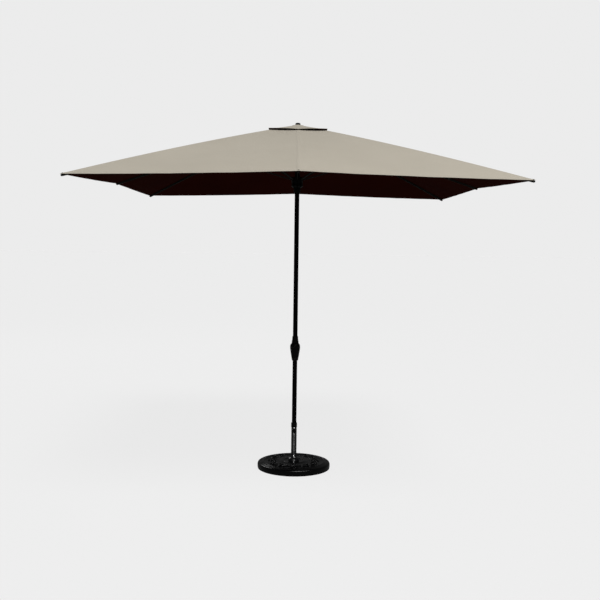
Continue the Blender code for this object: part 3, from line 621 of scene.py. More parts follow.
class Panel:
    """The cloth between two neighbouring ribs, stretched between them and sagging a little."""

    def __init__(self, first, second, number):
        self.first, self.second, self.number = first, second, number
        a, b = first.at(1), second.at(1)
        self.origin = (a + b) / 2
        self.along_rim = (b - a).normalized()
        out = self.origin - (first.at(0) + second.at(0)) / 2
        out -= self.along_rim * out.dot(self.along_rim)
        self.depth = out.length
        self.outwards = out.normalized()
        self.up = self.outwards.cross(self.along_rim)

    def cloth_place(self, point):
        """Metres along the rim and outwards, in the plane that the panel was cut in."""
        off = point - self.origin
        return off.dot(self.along_rim), off.dot(self.outwards)

    def point(self, u, share):
        belly = 4 * share * (1 - share)
        u -= RIM_SCALLOP / self.depth * belly * u**8
        point = self.first.at(u).lerp(self.second.at(u), share)
        drop = PANEL_SAG * belly * sin(0.8 * pi * u)
        return point - self.up * (drop + self.wrinkles(point, belly, u))

    def wrinkles(self, point, belly, u):
        """Slack waves that run down the slope, and creases that fan out from each rib's end."""
        across, out = self.cloth_place(point)
        slack = noise.noise(Vector((across * 8, out * 1.7, 9.7 * self.number)))
        slack += 0.5 * noise.noise(Vector((across * 19, out * 3.1, 9.7 * self.number + 4)))
        height = WRINKLE * slack * min(1.0, 2 * u)
        for rib in (self.first, self.second):
            off = point - rib.at(1)
            reach = off.length + 1e-6
            angle = atan2(abs(off.dot(self.outwards)), abs(off.dot(self.along_rim)) + 1e-6)
            height += 0.9 * WRINKLE * sin(11 * angle) * np.exp(-reach / 0.22) * reach / (reach + 0.05)
        return height * belly**0.5


def sheet_mesh(name, grid, place_of, values):
    """A mesh of rows of points, top up, with cloth UVs by face and one value a point for each name."""
    rows, columns = len(grid), len(grid[0])
    mesh = bpy.data.meshes.new(name)
    faces = []
    for i in range(rows - 1):
        for j in range(columns - 1):
            k = i * columns + j
            faces.append((k, k + 1, k + columns + 1, k + columns))
    mesh.from_pydata([point for row in grid for point in row], [], faces)
    if sum(p.normal.z for p in mesh.polygons) < 0:
        mesh.flip_normals()
    layer = mesh.uv_layers.new(name="cloth")
    for face in mesh.polygons:
        column = min(v % columns for v in face.vertices)
        for loop in face.loop_indices:
            point = mesh.vertices[mesh.loops[loop].vertex_index].co
            layer.data[loop].uv = place_of(column, point)
    for key, numbers in values.items():
        mesh.attributes.new(key, "FLOAT", "POINT").data.foreach_set("value", numbers)
    mesh.shade_smooth()
    return mesh


def thickened_with_shaded_underside(mesh):
    """The cloth with its thickness, its underside in a near-black red-brown material that paints in the shade
    under the canopy, and edges that don't bend the top's shading.
    """
    for material in (TOP_CLOTH, UNDERSIDE_SHADE_CLOTH):
        mesh.materials.append(material)
    sheet = linked("sheet", mesh)
    shell = sheet.modifiers.new("Thickness", "SOLIDIFY")
    shell.thickness = CLOTH
    shell.offset = -1
    shell.material_offset = 1
    made = applied(sheet)
    bpy.data.objects.remove(sheet)
    return soften(made)


def make_sheet(name, rib, grid, place_of, values, keep, replaced):
    """Cloth with its thickness and its painted-shade underside, placed on its rib's body in place of the CAD
    gore.
    """
    mesh = sheet_mesh(name, grid, place_of, values)
    mesh = thickened_with_shaded_underside(mesh)
    obj = place_object(name, mesh, "rib_" + rib.name, [], [replaced])
    rib.at(0.5)
    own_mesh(obj)


def row_stops(start):
    """Shares from the vent opening to the rim, close together where the hems step."""
    run, step = 1.4, 0.0015  # a panel's usual depth; width of a hem's edge
    inner = [0, VENT_HEM / 2, VENT_HEM, VENT_HEM + step, VENT_HEM + 0.006]
    outer = [HEM + 0.006, HEM + step, HEM, HEM / 2, 0]
    low, high = start + inner[-1] / run, 1 - outer[0] / run
    stops = [(start + d / run, d * HEM / VENT_HEM, HEM_RISE * (d <= VENT_HEM)) for d in inner[:-1]]
    for i in range(GORE_ROWS + 1):
        u = low + (high - low) * i / GORE_ROWS
        stops.append((u, min((1 - u) * run, (u - start) * run * HEM / VENT_HEM), 0))
    return stops + [(1 - d / run, d, HEM_RISE * (d <= HEM)) for d in outer[1:]]


def make_gore(index):
    """The cloth that one rib carries: half of the panel on each side of it, seamed over the rib."""
    rib = ribs[index]
    sides = {-1: (panels[index - 1], ribs[index - 1]), 1: (panels[index], ribs[(index + 1) % len(ribs)])}
    tape = [0, TAPE_HALF / 2, TAPE_HALF, TAPE_HALF + 0.0012, TAPE_HALF + 0.005]
    grid, seam, hem = [], [], []
    for u, hem_distance, hem_rise in row_stops(rib.start):
        row = []
        middle = rib.at(u)
        way = (rib.at(u + 0.01) - rib.at(u - 0.01)).normalized()
        for column in range(-GORE_STEPS, GORE_STEPS + 1):
            panel, other = sides[-1 if column < 0 else 1]
            chord = other.at(u) - middle
            width = (chord - way * chord.dot(way)).length
            count = abs(column)
            if count < len(tape):
                share, rise = tape[count] / width, TAPE_RISE * (tape[count] <= TAPE_HALF)
            else:
                taken = tape[-1] / width
                part = (count - len(tape) + 1) / (GORE_STEPS - len(tape) + 1)
                share, rise = taken + (0.5 - taken) * part**1.2, 0
            point = panel.point(u, share if column >= 0 else 1 - share)
            row.append(point + panel.up * (rise + hem_rise))
            seam.append(share * width)
            hem.append(hem_distance)
        grid.append(row)

    def cloth_place(column, point):
        return sides[-1 if column < GORE_STEPS else 1][0].cloth_place(point)

    make_sheet("canopy_" + rib.name, rib, grid, cloth_place, {"seam": seam, "rim": hem},
               KEEP[rib.kind()], "gore_" + rib.name)


VENT_X, VENT_Y, VENT_EDGE_Z, VENT_CURVE = 0.195, 0.240, 2.336, 1.35
CROWN_R, CROWN_Z, CROWN_EDGE_Z = 0.040, 2.3855, 2.3805


def make_vent(rib):
    """A quarter of the vent cap, which floats over the canopy's opening."""
    sx, sy = (1 if rib.way.x > 0 else -1), (1 if rib.way.y > 0 else -1)
    corner, inner = atan2(VENT_Y, VENT_X), CROWN_R - 0.004
    columns, rows = 28, 26
    grid, seam, hem = [], [], []
    for i in range(rows + 1):
        along = i / rows
        row = []
        for j in range(columns + 1):
            share = 2 * j / columns - 1
            a = corner + share * (corner if share < 0 else pi / 2 - corner)
            reach = min(VENT_X / max(cos(a), 1e-6), VENT_Y / max(sin(a), 1e-6))
            r = inner + (reach - inner) * along
            belly = 1 - (2 * abs(share) - 1) ** 2
            z = VENT_EDGE_Z + (CROWN_EDGE_Z - VENT_EDGE_Z) * (1 - along) ** VENT_CURVE
            z += 0.0022 * belly * sin(pi * along * 0.62) * (1 if along > 0.8 else along / 0.8)
            z -= VENT_DROOP * abs(share) ** 1.5 * along**3
            point = Vector((sx * r * cos(a), sy * r * sin(a), z))
            edge = (1 - along) * (reach - inner)
            to_seam = r * min(abs(sin(a - corner)), abs(sin(a)), abs(cos(a)))
            if edge < VENT_BAND:
                point.z += HEM_RISE
            row.append(point)
            seam.append(to_seam)
            hem.append(edge * HEM / VENT_BAND)
        grid.append(row)

    def cloth_place(column, point):
        return (point.y, point.x) if column < columns / 2 else (point.x, point.y)

    make_sheet("vent_cap_" + rib.name, rib, grid, cloth_place, {"seam": seam, "rim": hem},
               VENT_KEEP, "vent_" + rib.name)


ribs = [Rib(name) for name in RIBS]
panels = [Panel(rib, ribs[(i + 1) % len(ribs)], i) for i, rib in enumerate(ribs)]
for place in range(len(ribs)):
    make_gore(place)
for corner_rib in ribs[1::2]:
    make_vent(corner_rib)


# ---------------------------------------------------------------- vent crown, finial and hub
def in_place(x=0.0, y=0.0, z=0.0, turn=(0, 0, 0)):
    return Matrix.Translation((x, y, z)) @ Euler(turn).to_matrix().to_4x4()


def make_crown():
    """The small round cap of cloth that the finial holds down."""
    hole = 0.0034
    profile = [(hole, CROWN_Z), (0.0180, CROWN_Z), (CROWN_R, CROWN_EDGE_Z),
               (CROWN_R, CROWN_EDGE_Z - CLOTH), (0.0180, CROWN_Z - CLOTH), (hole, CROWN_Z - CLOTH)]
    mesh = lathe_mesh("vent_crown_cloth", rounded(profile, 0.0006))
    layer = mesh.uv_layers.new(name="cloth")
    for loop in mesh.loops:
        layer.data[loop.index].uv = mesh.vertices[loop.vertex_index].co.xy
    edge = [max(0.0, CROWN_R - v.co.xy.length) * HEM / 0.008 for v in mesh.vertices]
    mesh.attributes.new("rim", "FLOAT", "POINT").data.foreach_set("value", edge)
    crown = place_object("vent_crown_cloth", mesh, "mast", [TOP_CLOTH], ["vent_crown"])


HUB_R, HUB_Z, WIRE_R = 0.032, 2.369, 0.00125
HUB_TOP_Z, HUB_BOTTOM_Z, HUB_OUTER_R, HUB_CORE_R = 2.3775, 2.352, 0.040, 0.0215
RIB_SLOT, STRUT_SLOT = 0.0054, 0.00285  # half widths
POLE_R, POLE_WALL, POLE_TOP_Z = 0.016, 0.002, 2.3655


def ring_mesh(radius, thick, z):
    section = [(radius + thick * cos(-2 * pi * i / 12), z + thick * sin(-2 * pi * i / 12)) for i in range(12)]
    return lathe_mesh("ring", section, 96)


def slotted(mesh, inner, half, low, high):
    """The mesh with one radial slot for each rib."""
    tools = []
    for rib in ribs:
        turn = atan2(rib.way.y, rib.way.x)
        tools.append(solid_box((inner, -half, low), (0.06, half, high), turn))
    return cut(mesh, tools)


def make_hub():
    core = POLE_R + GAP
    profile = [(HUB_OUTER_R, HUB_TOP_Z), (HUB_OUTER_R, HUB_BOTTOM_Z + 0.0045),
               (HUB_OUTER_R - 0.0060, HUB_BOTTOM_Z), (core, HUB_BOTTOM_Z), (core, POLE_TOP_Z),
               (0.0033, POLE_TOP_Z), (0.0033, HUB_TOP_Z)]
    body = lathe_mesh("hub", rounded(profile, 0.0016))
    body = slotted(body, HUB_CORE_R, RIB_SLOT, HUB_BOTTOM_Z - 0.01, HUB_TOP_Z + 0.01)
    place_object("top_hub_moulding", body, "mast", [PLASTIC], ["top_hub"])
    place_object("hub_ring_wire", ring_mesh(HUB_R, WIRE_R, HUB_Z), "mast", [STEEL],
                 ["hub_ring"])


def make_finial():
    """A low turned knob with a domed top, its plain shank going down into the hub."""
    top = CAD_BOX[1][2]
    profile = [(0, top), (0.0050, top - 0.0003), (0.0105, top - 0.0014), (0.0148, top - 0.0034),
               (0.0172, top - 0.0058), (0.0175, top - 0.0075), (0.0175, CROWN_Z + 0.0012),
               (0.0158, CROWN_Z + GAP), (0.0030, CROWN_Z + GAP), (0.0030, POLE_TOP_Z + 0.001),
               (0, POLE_TOP_Z + 0.001)]
    lathe("finial_knob", profile, "mast", PLASTIC, ["finial"], ring=False, radius=0.0006)


# ---------------------------------------------------------------- pole and pulley
CORD_R = 0.0012
CRANK_Z, CORD_AZIMUTH, PULLEY_Z = 0.853, radians(25), 2.310
SPOOL_R = JOINTS["runner_slide"]["range_m"][1] / radians(JOINTS["crank_turn"]["range_deg"][1])
PULLEY_OUT = POLE_R + 0.0006 + CORD_R - SPOOL_R
POLE_JOINT_Z, POLE_FOOT_Z, SPIGOT = 0.660, 0.0603, 0.060


def make_pole():
    inner = POLE_R - POLE_WALL
    spigot = inner - GAP
    lower = [(spigot, POLE_JOINT_Z + SPIGOT), (spigot, POLE_JOINT_Z), (POLE_R, POLE_JOINT_Z - 0.0020),
             (POLE_R, POLE_FOOT_Z), (inner, POLE_FOOT_Z), (inner, POLE_JOINT_Z - 0.006),
             (spigot - 0.002, POLE_JOINT_Z), (spigot - 0.002, POLE_JOINT_Z + SPIGOT)]
    lathe("lower_pole_tube", lower, "mast", POLE_PAINT, ["lower_pole"], radius=0.0008)
    upper = [(POLE_R, POLE_TOP_Z), (POLE_R, POLE_JOINT_Z + GAP), (inner, POLE_JOINT_Z + GAP),
             (inner, POLE_TOP_Z)]
    tube = lathe_mesh("upper", rounded(upper, 0.0007))
    window = solid_box((0.006, -0.0035, -0.016), (0.03, 0.0035, 0.016), CORD_AZIMUTH)
    window.transform(Matrix.Translation((0, 0, PULLEY_Z)))
    across = Vector((-sin(CORD_AZIMUTH), cos(CORD_AZIMUTH), 0)) * 0.03
    middle = Vector((PULLEY_OUT * cos(CORD_AZIMUTH), PULLEY_OUT * sin(CORD_AZIMUTH), PULLEY_Z))
    holes = [window, cross_rod(0.0045, CRANK_Z, -0.03, 0.03),
             rod_mesh(0.0018, middle - across, middle + across)]
    place_object("upper_pole_tube", cut(tube, holes), "mast", [POLE_PAINT], ["upper_pole"])


def make_pulley():
    half, groove, rim = 0.003, SPOOL_R - CORD_R - 0.0001, 0.0098
    profile = [(rim, half), (rim, half - 0.001), (groove, 0.0013), (groove, -0.0013),
               (rim, 0.001 - half), (rim, -half), (0.0018, -half), (0.0018, half)]
    at = in_place(PULLEY_OUT * cos(CORD_AZIMUTH), PULLEY_OUT * sin(CORD_AZIMUTH), PULLEY_Z,
                  (pi / 2, 0, CORD_AZIMUTH))
    lathe("pulley_wheel", profile, "pulley", PLASTIC, ["cord_pulley"], radius=0.0003, at=at)


def make_cord():
    """Up inside the pole and over the pulley, then down outside it to the runner."""
    way = Vector((cos(CORD_AZIMUTH), sin(CORD_AZIMUTH), 0))
    middle = way * PULLEY_OUT + Vector((0, 0, PULLEY_Z))
    inner = [Vector((SPOOL_R, 0, CRANK_Z)), Vector((SPOOL_R, 0, CRANK_Z + 0.02))]
    for i in range(25):
        a = pi * (1 - i / 24)
        inner.append(middle + way * SPOOL_R * cos(a) + Vector((0, 0, SPOOL_R * sin(a))))
    top = inner[-1]
    mesh = tube_mesh(inner, [CORD_R] * len(inner), 10)
    place_object("lift_cord_inner", mesh, "mast", [CORD], ["lift_cord"])
    end = Vector((top.x, top.y, RUNNER_TOP_Z - 0.004))
    count = 60
    outer = [top.lerp(end, i / count) for i in range(count + 1)]
    mesh = tube_mesh(outer, [CORD_R] * len(outer), 10)
    mesh.materials.append(CORD)
    obj = linked("lift_cord_outer", mesh)
    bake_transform(obj)
    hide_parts("lift_cord")


# ---------------------------------------------------------------- crank housing
SCREW_X = (-0.0245, 0.0245)


def make_housing():
    """Two turned half shells with a parting line, screwed together, and a collar over them."""
    bore = POLE_R + GAP
    profile = [(0.0236, 0.8815), (0.0262, 0.8790), (0.0300, 0.8738), (0.0332, 0.8672), (0.0347, 0.8605),
               (0.0350, 0.8530), (0.0344, 0.8425), (0.0328, 0.8310), (0.0303, 0.8130), (0.0270, 0.7935),
               (0.0235, 0.7740), (0.0213, 0.7600), (bore, 0.7600), (bore, 0.8815)]
    gap, reach = 0.0002, 0.06
    for name, side in (("front", -1), ("rear", 1)):
        shell = lathe_mesh("shell", rounded(profile, 0.0010))
        low, high = sorted((-side * reach, side * gap))
        tools = [solid_box((-reach, low, 0.7), (reach, high, 0.95))]
        depth = (-0.06, 0.0) if side < 0 else (0.0, 0.0285)
        tools.append(cross_rod(0.0046, CRANK_Z, *depth))
        for x in SCREW_X:
            tools.append(cross_rod(0.0016, CRANK_Z, -0.03, 0.0105, x))
            if side < 0:
                tools.append(cross_rod(0.0034, CRANK_Z, -0.04, -0.0160, x))
        place_object(f"crank_housing_{name}", cut(shell, tools), "mast", [PLASTIC],
                     ["housing_" + name])
    collar = [(0.0185, 0.9300), (0.0200, 0.9282), (0.0203, 0.9150), (0.0212, 0.9040), (0.0235, 0.8925),
              (0.0240, 0.8880), (0.0235, 0.8820), (bore, 0.8820), (bore, 0.9300)]
    lathe("crank_housing_collar", collar, "mast", PLASTIC, ["housing_collar"])
    for name, x in zip(("left", "right"), SCREW_X):
        make_screw("crank_housing_screw_" + name, in_place(x, 0.0080, CRANK_Z, (pi / 2, 0, 0)),
                   "housing_screw_" + name)


def make_screw(name, at, replaced):
    """A pan head with a cross recess, on a plain shank."""
    profile = [(0, 0.0270), (0.0018, 0.0268), (0.0027, 0.0260), (0.0030, 0.0252), (0.0030, 0.0245),
               (0.0013, 0.0245), (0.0013, 0), (0, 0)]
    body = lathe_mesh("screw", rounded(profile, 0.0002, closed=False), 32, ring=False)
    arms = [solid_box((-0.0016, -0.00032, 0.0258), (0.0016, 0.00032, 0.03), a) for a in (0.4, 0.4 + pi / 2)]
    mesh = cut(body, arms)
    mesh.transform(at)
    place_object(name, mesh, "mast", [STEEL], [replaced])


# ---------------------------------------------------------------- crank and grip
ARM_LENGTH, ARM_TILT, ARM_THICK, ARM_Y = 0.075, radians(5), 0.007, -0.0430
GRIP_LENGTH, GRIP_PIN_R = 0.040, 0.0030


def on_arm(reach):
    return (reach * sin(ARM_TILT), CRANK_Z - reach * cos(ARM_TILT))


ARM_END = on_arm(ARM_LENGTH)


def bar_outline(start, start_r, end, end_r, steps=20):
    way = atan2(end[1] - start[1], end[0] - start[0])
    lean = asin((start_r - end_r) / hypot(end[0] - start[0], end[1] - start[1]))
    points = []
    for (x, z), r, first, turn in ((start, start_r, way + pi / 2 - lean, pi + 2 * lean),
                                   (end, end_r, way - pi / 2 + lean, pi - 2 * lean)):
        for i in range(steps + 1):
            a = first + turn * i / steps
            points.append((x + r * cos(a), z + r * sin(a)))
    return points


def make_crank():
    """A cranked arm with a boss at the axle, a shallow panel along it, and a grip that turns on a pin."""
    axle = cross_rod(0.004, CRANK_Z, 0.028, -0.0505, steps=32)
    place_object("crank_axle_rod", axle, "crank", [STEEL], ["crank_axle"])
    body = outline_mesh(bar_outline((0, CRANK_Z), 0.0120, ARM_END, 0.0085), ARM_THICK)
    panel = outline_mesh(bar_outline(on_arm(0.0174), 0.0058, on_arm(0.0576), 0.0042), 0.0016, 0.0004)
    panel.transform(Matrix.Translation((0, -ARM_THICK / 2, 0)))
    arm = cut(body, [panel, cross_rod(0.0041, CRANK_Z, -0.02, 0.02)])
    arm.transform(Matrix.Translation((0, ARM_Y - ARM_THICK / 2, 0)))
    pin_end = ARM_Y - ARM_THICK - GRIP_LENGTH + 0.006
    pin = cross_rod(GRIP_PIN_R, ARM_END[1], ARM_Y - 0.002, pin_end, ARM_END[0])
    place_object("crank_arm_moulding", joined("crank_arm_moulding", [arm, pin]), "crank",
                 [PLASTIC], ["crank_arm"])
    nut = [(0, 0.0040), (0.0040, 0.0036), (0.0062, 0.0020), (0.0064, 0.0), (0, 0.0)]
    cap_at = in_place(0, ARM_Y - ARM_THICK + 0.0002, CRANK_Z, (pi / 2, 0, 0))
    lathe("crank_axle_cap", nut, "crank", PLASTIC, ring=False, radius=0.0006, at=cap_at)
    bore, depth = GRIP_PIN_R + GAP, GRIP_LENGTH - 0.0055
    profile = [(0, GRIP_LENGTH), (0.0045, GRIP_LENGTH - 0.0003), (0.0080, GRIP_LENGTH - 0.0016),
               (0.0104, GRIP_LENGTH - 0.0046)]
    for i in range(7):
        z = 0.0325 - 0.0035 * i
        profile += [(0.0114 - 0.00012 * i * i, z), (0.0108 - 0.00012 * i * i, z - 0.0017)]
    profile += [(0.0088, 0.0060), (0.0093, 0.0035), (0.0093, 0.0008), (0.0086, 0.0003), (bore, 0.0003),
                (bore, depth), (0, depth)]
    at = in_place(ARM_END[0], ARM_Y - ARM_THICK, ARM_END[1], (pi / 2, 0, 0))
    lathe("crank_grip_knob", profile, "grip", PLASTIC, ["crank_grip"], ring=False,
          radius=0.0006, at=at)


# ---------------------------------------------------------------- runner
RUNNER_Z, RUNNER_TOP_Z, RUNNER_BOTTOM_Z, RUNNER_R, RUNNER_CORE_R = 2.010, 2.030, 1.957, 0.040, 0.0250


def make_runner():
    """The sliding hub: a slotted head that carries the struts' wire, above a plain sleeve."""
    bore = POLE_R + 0.0005
    profile = [(RUNNER_R, RUNNER_TOP_Z), (RUNNER_R, 1.9975), (RUNNER_R - 0.0016, 1.9960),
               (RUNNER_R - 0.0016, 1.9760), (RUNNER_R, 1.9745), (RUNNER_R, RUNNER_BOTTOM_Z + 0.0120),
               (RUNNER_R - 0.0100, RUNNER_BOTTOM_Z), (bore, RUNNER_BOTTOM_Z), (bore, RUNNER_TOP_Z)]
    block = lathe_mesh("runner", rounded(profile, 0.0020))
    block = slotted(block, RUNNER_CORE_R, STRUT_SLOT, RUNNER_BOTTOM_Z - 0.01, RUNNER_TOP_Z + 0.01)
    place_object("runner_head", block, "runner", [PLASTIC], ["runner_block"])
    place_object("runner_ring_wire", ring_mesh(HUB_R, WIRE_R, RUNNER_Z), "runner", [STEEL],
                 ["runner_ring"])
    low = 1.925
    sleeve = [(0.0245, RUNNER_BOTTOM_Z - GAP), (0.0245, low + 0.0110), (0.0236, low + 0.0100),
              (0.0236, low + 0.0080), (0.0245, low + 0.0070), (0.0245, low + 0.0030), (0.0225, low),
              (bore, low), (bore, RUNNER_BOTTOM_Z - GAP)]
    lathe("runner_lower_sleeve", sleeve, "runner", PLASTIC, ["runner_sleeve"], radius=0.0008)


# ---------------------------------------------------------------- ribs and struts
RIB_WIDTH = 0.010


def make_rib_fittings(rib):
    """Rivet heads where the strut is pinned, and the moulded tip that the canopy's pocket holds."""
    strut_pivot = Vector(JOINTS[f"strut_{rib.name}_fold"]["pos_m"])
    heads = []
    for side in (-1, 1):
        profile = [(0, 0.0013), (0.0018, 0.0011), (0.0031, 0.0004), (0.0034, 0.0), (0, 0.0)]
        head = lathe_mesh("rivet", profile, 24, ring=False)
        way = rib.side * side
        head.transform(facing(strut_pivot + way * (RIB_WIDTH / 2 + GAP), way))
        heads.append(head)
    place_object("rib_rivets_" + rib.name, joined("rib_rivets_" + rib.name, heads), "rib_" + rib.name,
                 [STEEL])
    slope = (rib.at(1) - rib.at(0.98)).normalized()
    up = rib.side.cross(slope) if rib.side.cross(slope).z > 0 else slope.cross(rib.side)
    tip = outline_mesh(bar_outline((0, 0), 0.0062, (0.034, 0.0008), 0.0050), 0.0078, 0.0018, 4)
    turn = Matrix((slope, -rib.side, up)).transposed().to_4x4()
    if turn.determinant() < 0:
        turn = Matrix((slope, rib.side, up)).transposed().to_4x4()
    start = rib.at(1) - slope * 0.0415 - up * 0.0096
    tip.transform(Matrix.Translation(start) @ turn)
    place_object("rib_tip_" + rib.name, tip, "rib_" + rib.name, [PLASTIC])
    stud = lathe_mesh("stud", [(0, 0.0017), (0.0028, 0.0014), (0.0046, 0.0005), (0.0050, -0.0004),
                               (0, -0.0004)], 28, ring=False)
    stud.transform(facing(rib.at(1) - slope * 0.0150 + up * (HEM_RISE + TAPE_RISE), up))
    place_object("rib_tip_stud_" + rib.name, stud, "rib_" + rib.name, [PLASTIC])


# ---------------------------------------------------------------- stem and clamp
STEM_R, STEM_TOP_Z, STEM_FLOOR_Z, STEM_WALL, STUD_R = 0.019, 0.300, 0.056, 0.0013, 0.006
CLAMP_Z, BASE_TOP_Z, BASE_R = 0.268, 0.0505, 0.254
FLOWER_R, SCROLL_R = 0.143, 0.158  # from the axis to the middles of the relief


def make_stem():
    disc_z, inner = BASE_TOP_Z + GAP, STEM_R - STEM_WALL
    stem = [(0, STEM_FLOOR_Z), (inner, STEM_FLOOR_Z), (inner, STEM_TOP_Z), (STEM_R, STEM_TOP_Z),
            (STEM_R, disc_z), (STUD_R, disc_z), (STUD_R, 0.002), (0, 0.002)]
    tube = lathe_mesh("stem", rounded(stem, 0.0005, closed=False), ring=False)
    hole = cross_rod(0.0043, CLAMP_Z, -0.012, -0.025)
    place_object("stem_pipe", cut(tube, [hole]), "base", [STEM_PAINT], ["stem_tube"])
    bore = STEM_R + GAP
    flange = [(0.0228, 0.1010), (0.0250, 0.1002), (0.0256, 0.0980), (0.0256, 0.0955), (0.0246, 0.0930),
              (0.0230, 0.0908), (0.0230, 0.0890), (0.0238, 0.0880), (0.0238, 0.0862), (0.0230, 0.0850),
              (0.0233, 0.0835), (0.0243, 0.0800), (0.0262, 0.0765), (0.0290, 0.0734), (0.0322, 0.0713),
              (0.0352, 0.0704), (0.0372, 0.0690), (0.0380, 0.0668), (0.0380, 0.0630), (0.0366, 0.0618),
              (0.0366, 0.0602), (0.0378, 0.0588), (0.0378, 0.0508), (bore, 0.0508), (bore, 0.1010)]
    lathe("stem_collar", flange, "base", COLLAR_RESIN, ["stem_flange"], radius=0.0007)
    lip, clear = STEM_TOP_Z + GAP, POLE_R + 0.0008
    cap = [(0.0176, 0.3190), (0.0196, 0.3186), (0.0206, 0.3170), (0.0208, 0.3150), (0.0208, 0.3040),
           (0.0202, 0.3032), (0.0202, 0.3020), (0.0208, 0.3012), (0.0208, 0.2890), (bore, 0.2890),
           (bore, lip), (clear, lip), (clear, 0.3190)]
    lathe("stem_top_cap", cap, "base", PLASTIC, ["stem_cap"], radius=0.0006)


def light_stem():
    """A tall strip that gives the glossy pipe its upright highlight, and lights nothing else."""
    strip = soft_box("strip", (0.20, -7.4, 0.50), (0, 0, 0.2), (0.30, 0.7), 800)
    lit = bpy.data.collections.new("lit_by_strip")
    for name in ("stem_pipe", "stem_collar"):
        lit.objects.link(bpy.data.objects[name])
    strip.light_linking.receiver_collection = lit


def make_clamp():
    """A boss on the stem, the screw that runs in it, and a lobed hand knob."""
    boss = cross_rod(0.0105, CLAMP_Z, -0.0170, -0.031, steps=48, edge=0.0012)
    tools = [rod_mesh(STEM_R + GAP, (0, 0, 0.24), (0, 0, 0.2885), 72, 1e-5),
             cross_rod(0.0043, CLAMP_Z, -0.01, -0.04, steps=32)]
    place_object("clamp_boss_pad", cut(boss, tools), "base", [STEM_PAINT], ["clamp_boss"])
    start = Vector((0, -0.0178, CLAMP_Z))
    thread = [(0, 0.0282), (0.0036, 0.0282)]
    pitch, length = 0.00125, 0.0262
    for i in range(int(length / pitch)):
        z = 0.0270 - i * pitch
        thread += [(0.0040, z), (0.0035, z - pitch / 2)]
    thread += [(0.0034, 0.0), (0, 0.0)]
    screw = lathe_mesh("screw", thread, 32, ring=False)
    screw.transform(Matrix.Translation(start) @ Matrix.Rotation(pi / 2, 4, "X"))
    place_object("clamp_screw_rod", screw, "clamp_screw", [STEEL], ["clamp_screw"])
    outline = []
    for i in range(120):
        a = 2 * pi * i / 120
        r = 0.0135 + 0.0018 * cos(5 * a)
        outline.append((r * cos(a), r * sin(a)))
    knob = outline_mesh(outline, 0.0175, 0.0026, 5)
    face = cross_rod(0.0072, 0, -0.0105, -0.0080, steps=40)
    back = cross_rod(0.0043, 0, 0.02, -0.0024, steps=32)
    mesh = cut(knob, [face, back])
    mesh.transform(Matrix.Translation((0, -0.04325, CLAMP_Z)))
    place_object("clamp_hand_knob", mesh, "clamp_knob", [PLASTIC], ["clamp_knob"])


# ---------------------------------------------------------------- base
def cover_height(r):
    """The top of the base between the stem and its rim, which falls gently outwards."""
    return float(np.interp(r, [0.030, 0.120, 0.228], [BASE_TOP_Z, 0.0495, 0.0455]))


def bead(r, half, rise):
    """Points of a raised ring in the cover's profile."""
    z = cover_height(r)
    return [(r - half + 2 * half * i / 6, z + rise * sin(pi * i / 6)) for i in range(7)]


def on_cover(angle, r, lift=0.0):
    return Vector((r * cos(angle), r * sin(angle), cover_height(r) + lift))


def rosette(angle, r):
    """A flower in low relief: a domed middle, eight petals and a ring of beads."""
    middle = on_cover(angle, r)
    made = [drop_mesh((0.0085, 0.0085, 0.0048), middle)]
    for i in range(8):
        a = angle + 2 * pi * i / 8
        at = middle + Vector((cos(a), sin(a), 0)) * 0.0190
        made.append(drop_mesh((0.0098, 0.0056, 0.0036), at, a, 0.35, 16))
    for i in range(16):
        a = angle + 2 * pi * (i + 0.5) / 16
        at = middle + Vector((cos(a), sin(a), 0)) * 0.0345
        made.append(drop_mesh((0.0030, 0.0030, 0.0024), at, 0, 0, 12))
    return made


def volute(middle, heading, hand):
    """A scroll that winds in on itself and ends in a bead."""
    points, radii = [], []
    count = 44
    for i in range(count):
        t = i / (count - 1)
        a = heading + hand * 3.3 * pi * t
        r = 0.0250 * (1 - t) ** 0.8 + 0.0030
        points.append(middle + Vector((cos(a) * r, sin(a) * r, 0.0004)))
        radii.append(0.0034 - 0.0016 * t)
    return [tube_mesh(points, radii, 10, 0.8), drop_mesh((0.0042, 0.0042, 0.0036), points[-1], 0, 0, 14)]


def scroll_group(angle, r):
    """Two mirrored volutes on a leaf, between two rosettes."""
    made = []
    for hand in (-1, 1):
        a = angle + hand * 0.215
        made += volute(on_cover(a, r), angle + hand * 1.2, hand)
        stem, radii = [], []
        for i in range(16):
            t = i / 15
            b = angle + hand * (0.28 + 0.30 * t)
            stem.append(on_cover(b, r + 0.012 * sin(pi * t), 0.0003))
            radii.append(0.0030 - 0.0018 * t)
        made.append(tube_mesh(stem, radii, 10, 0.8))
        made.append(drop_mesh((0.0125, 0.0050, 0.0030), on_cover(angle + hand * 0.46, r - 0.020),
                              angle + hand * 0.46 + hand * 0.9, 0.7, 14))
    made.append(drop_mesh((0.0230, 0.0085, 0.0042), on_cover(angle, r + 0.020), angle, 0.75, 18))
    made.append(drop_mesh((0.0120, 0.0055, 0.0034), on_cover(angle, r - 0.026), angle + pi, 0.7, 16))
    return made


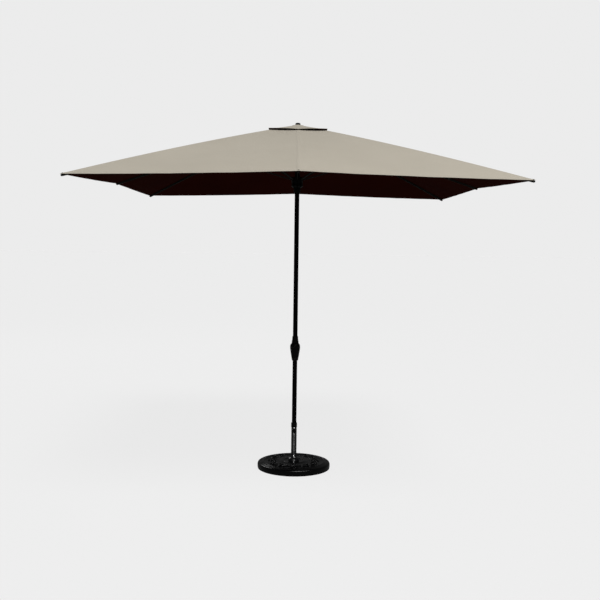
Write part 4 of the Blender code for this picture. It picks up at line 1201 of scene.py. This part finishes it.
def make_base():
    """A glossy moulded cover with flowers and scrolls in low relief, over a cast weight."""
    middle = [(STUD_R + GAP, BASE_TOP_Z), (0.0440, BASE_TOP_Z - 0.0002)]
    outer = [(0.2270, 0.0456), (0.2285, 0.0448), (0.2300, 0.0438), (0.2314, 0.0446), (0.2332, 0.0451),
             (0.2352, 0.0449), (0.2385, 0.0437), (0.2435, 0.0424), (0.2480, 0.0404), (0.2509, 0.0375),
             (0.2527, 0.0335), (0.2537, 0.0290), (BASE_R, 0.0240), (0.2538, 0.0130), (0.2530, 0.0050),
             (0.2520, 0.0010)]
    inside = [(0.2485, 0.0010), (0.2485, 0.0270), (0.2400, 0.0365), (STUD_R + GAP, 0.0455)]
    profile = middle + bead(0.0740, 0.0030, 0.0014) + [(0.1200, 0.0495)] + bead(0.2120, 0.0034, 0.0016)
    profile += outer + inside
    pieces = [lathe_mesh("cover", profile, 192)]
    for i in range(4):
        pieces += rosette(i * pi / 2, FLOWER_R)
        pieces += scroll_group((i + 0.5) * pi / 2, SCROLL_R)
    place_object("base_cover_relief", joined("base_cover_relief", pieces), "base",
                 [BASE_RESIN], ["base_cover"])
    weight = [(0.0063, 0.0450), (0.2396, 0.0360), (0.2481, 0.0266), (0.2481, 0.0), (0.0145, 0.0),
              (0.0145, 0.0120), (0.0063, 0.0120)]
    lathe("base_cast_weight", weight, "base", CONCRETE, ["base_weight"])


make_crown()
make_hub()
make_finial()
make_pole()
make_pulley()
make_cord()
make_housing()
make_crank()
make_runner()
for each_rib in ribs:
    make_rib_fittings(each_rib)
make_stem()
make_clamp()
make_base()
light_stem()

CAD_LOOKS = {
    "rib": (FRAME_PAINT, "frame_metal"), "strut": (FRAME_PAINT, "frame_metal"),
    "pole_bush": (PLASTIC, "black_plastic"), "pole_plug": (PLASTIC, "black_plastic"),
    "cord_spool": (PLASTIC, "black_plastic"), "stem_nut": (STEEL, "bare_steel"),
    "pulley_axle": (STEEL, "bare_steel"),
}
for node_name, node in frame["nodes"].items():
    if node.hide_render:
        continue
    key = node_name if node_name in CAD_LOOKS else node_name.split("_")[0]
    look, slot = CAD_LOOKS[key]
    node.data.materials.clear()
    node.data.materials.append(look)
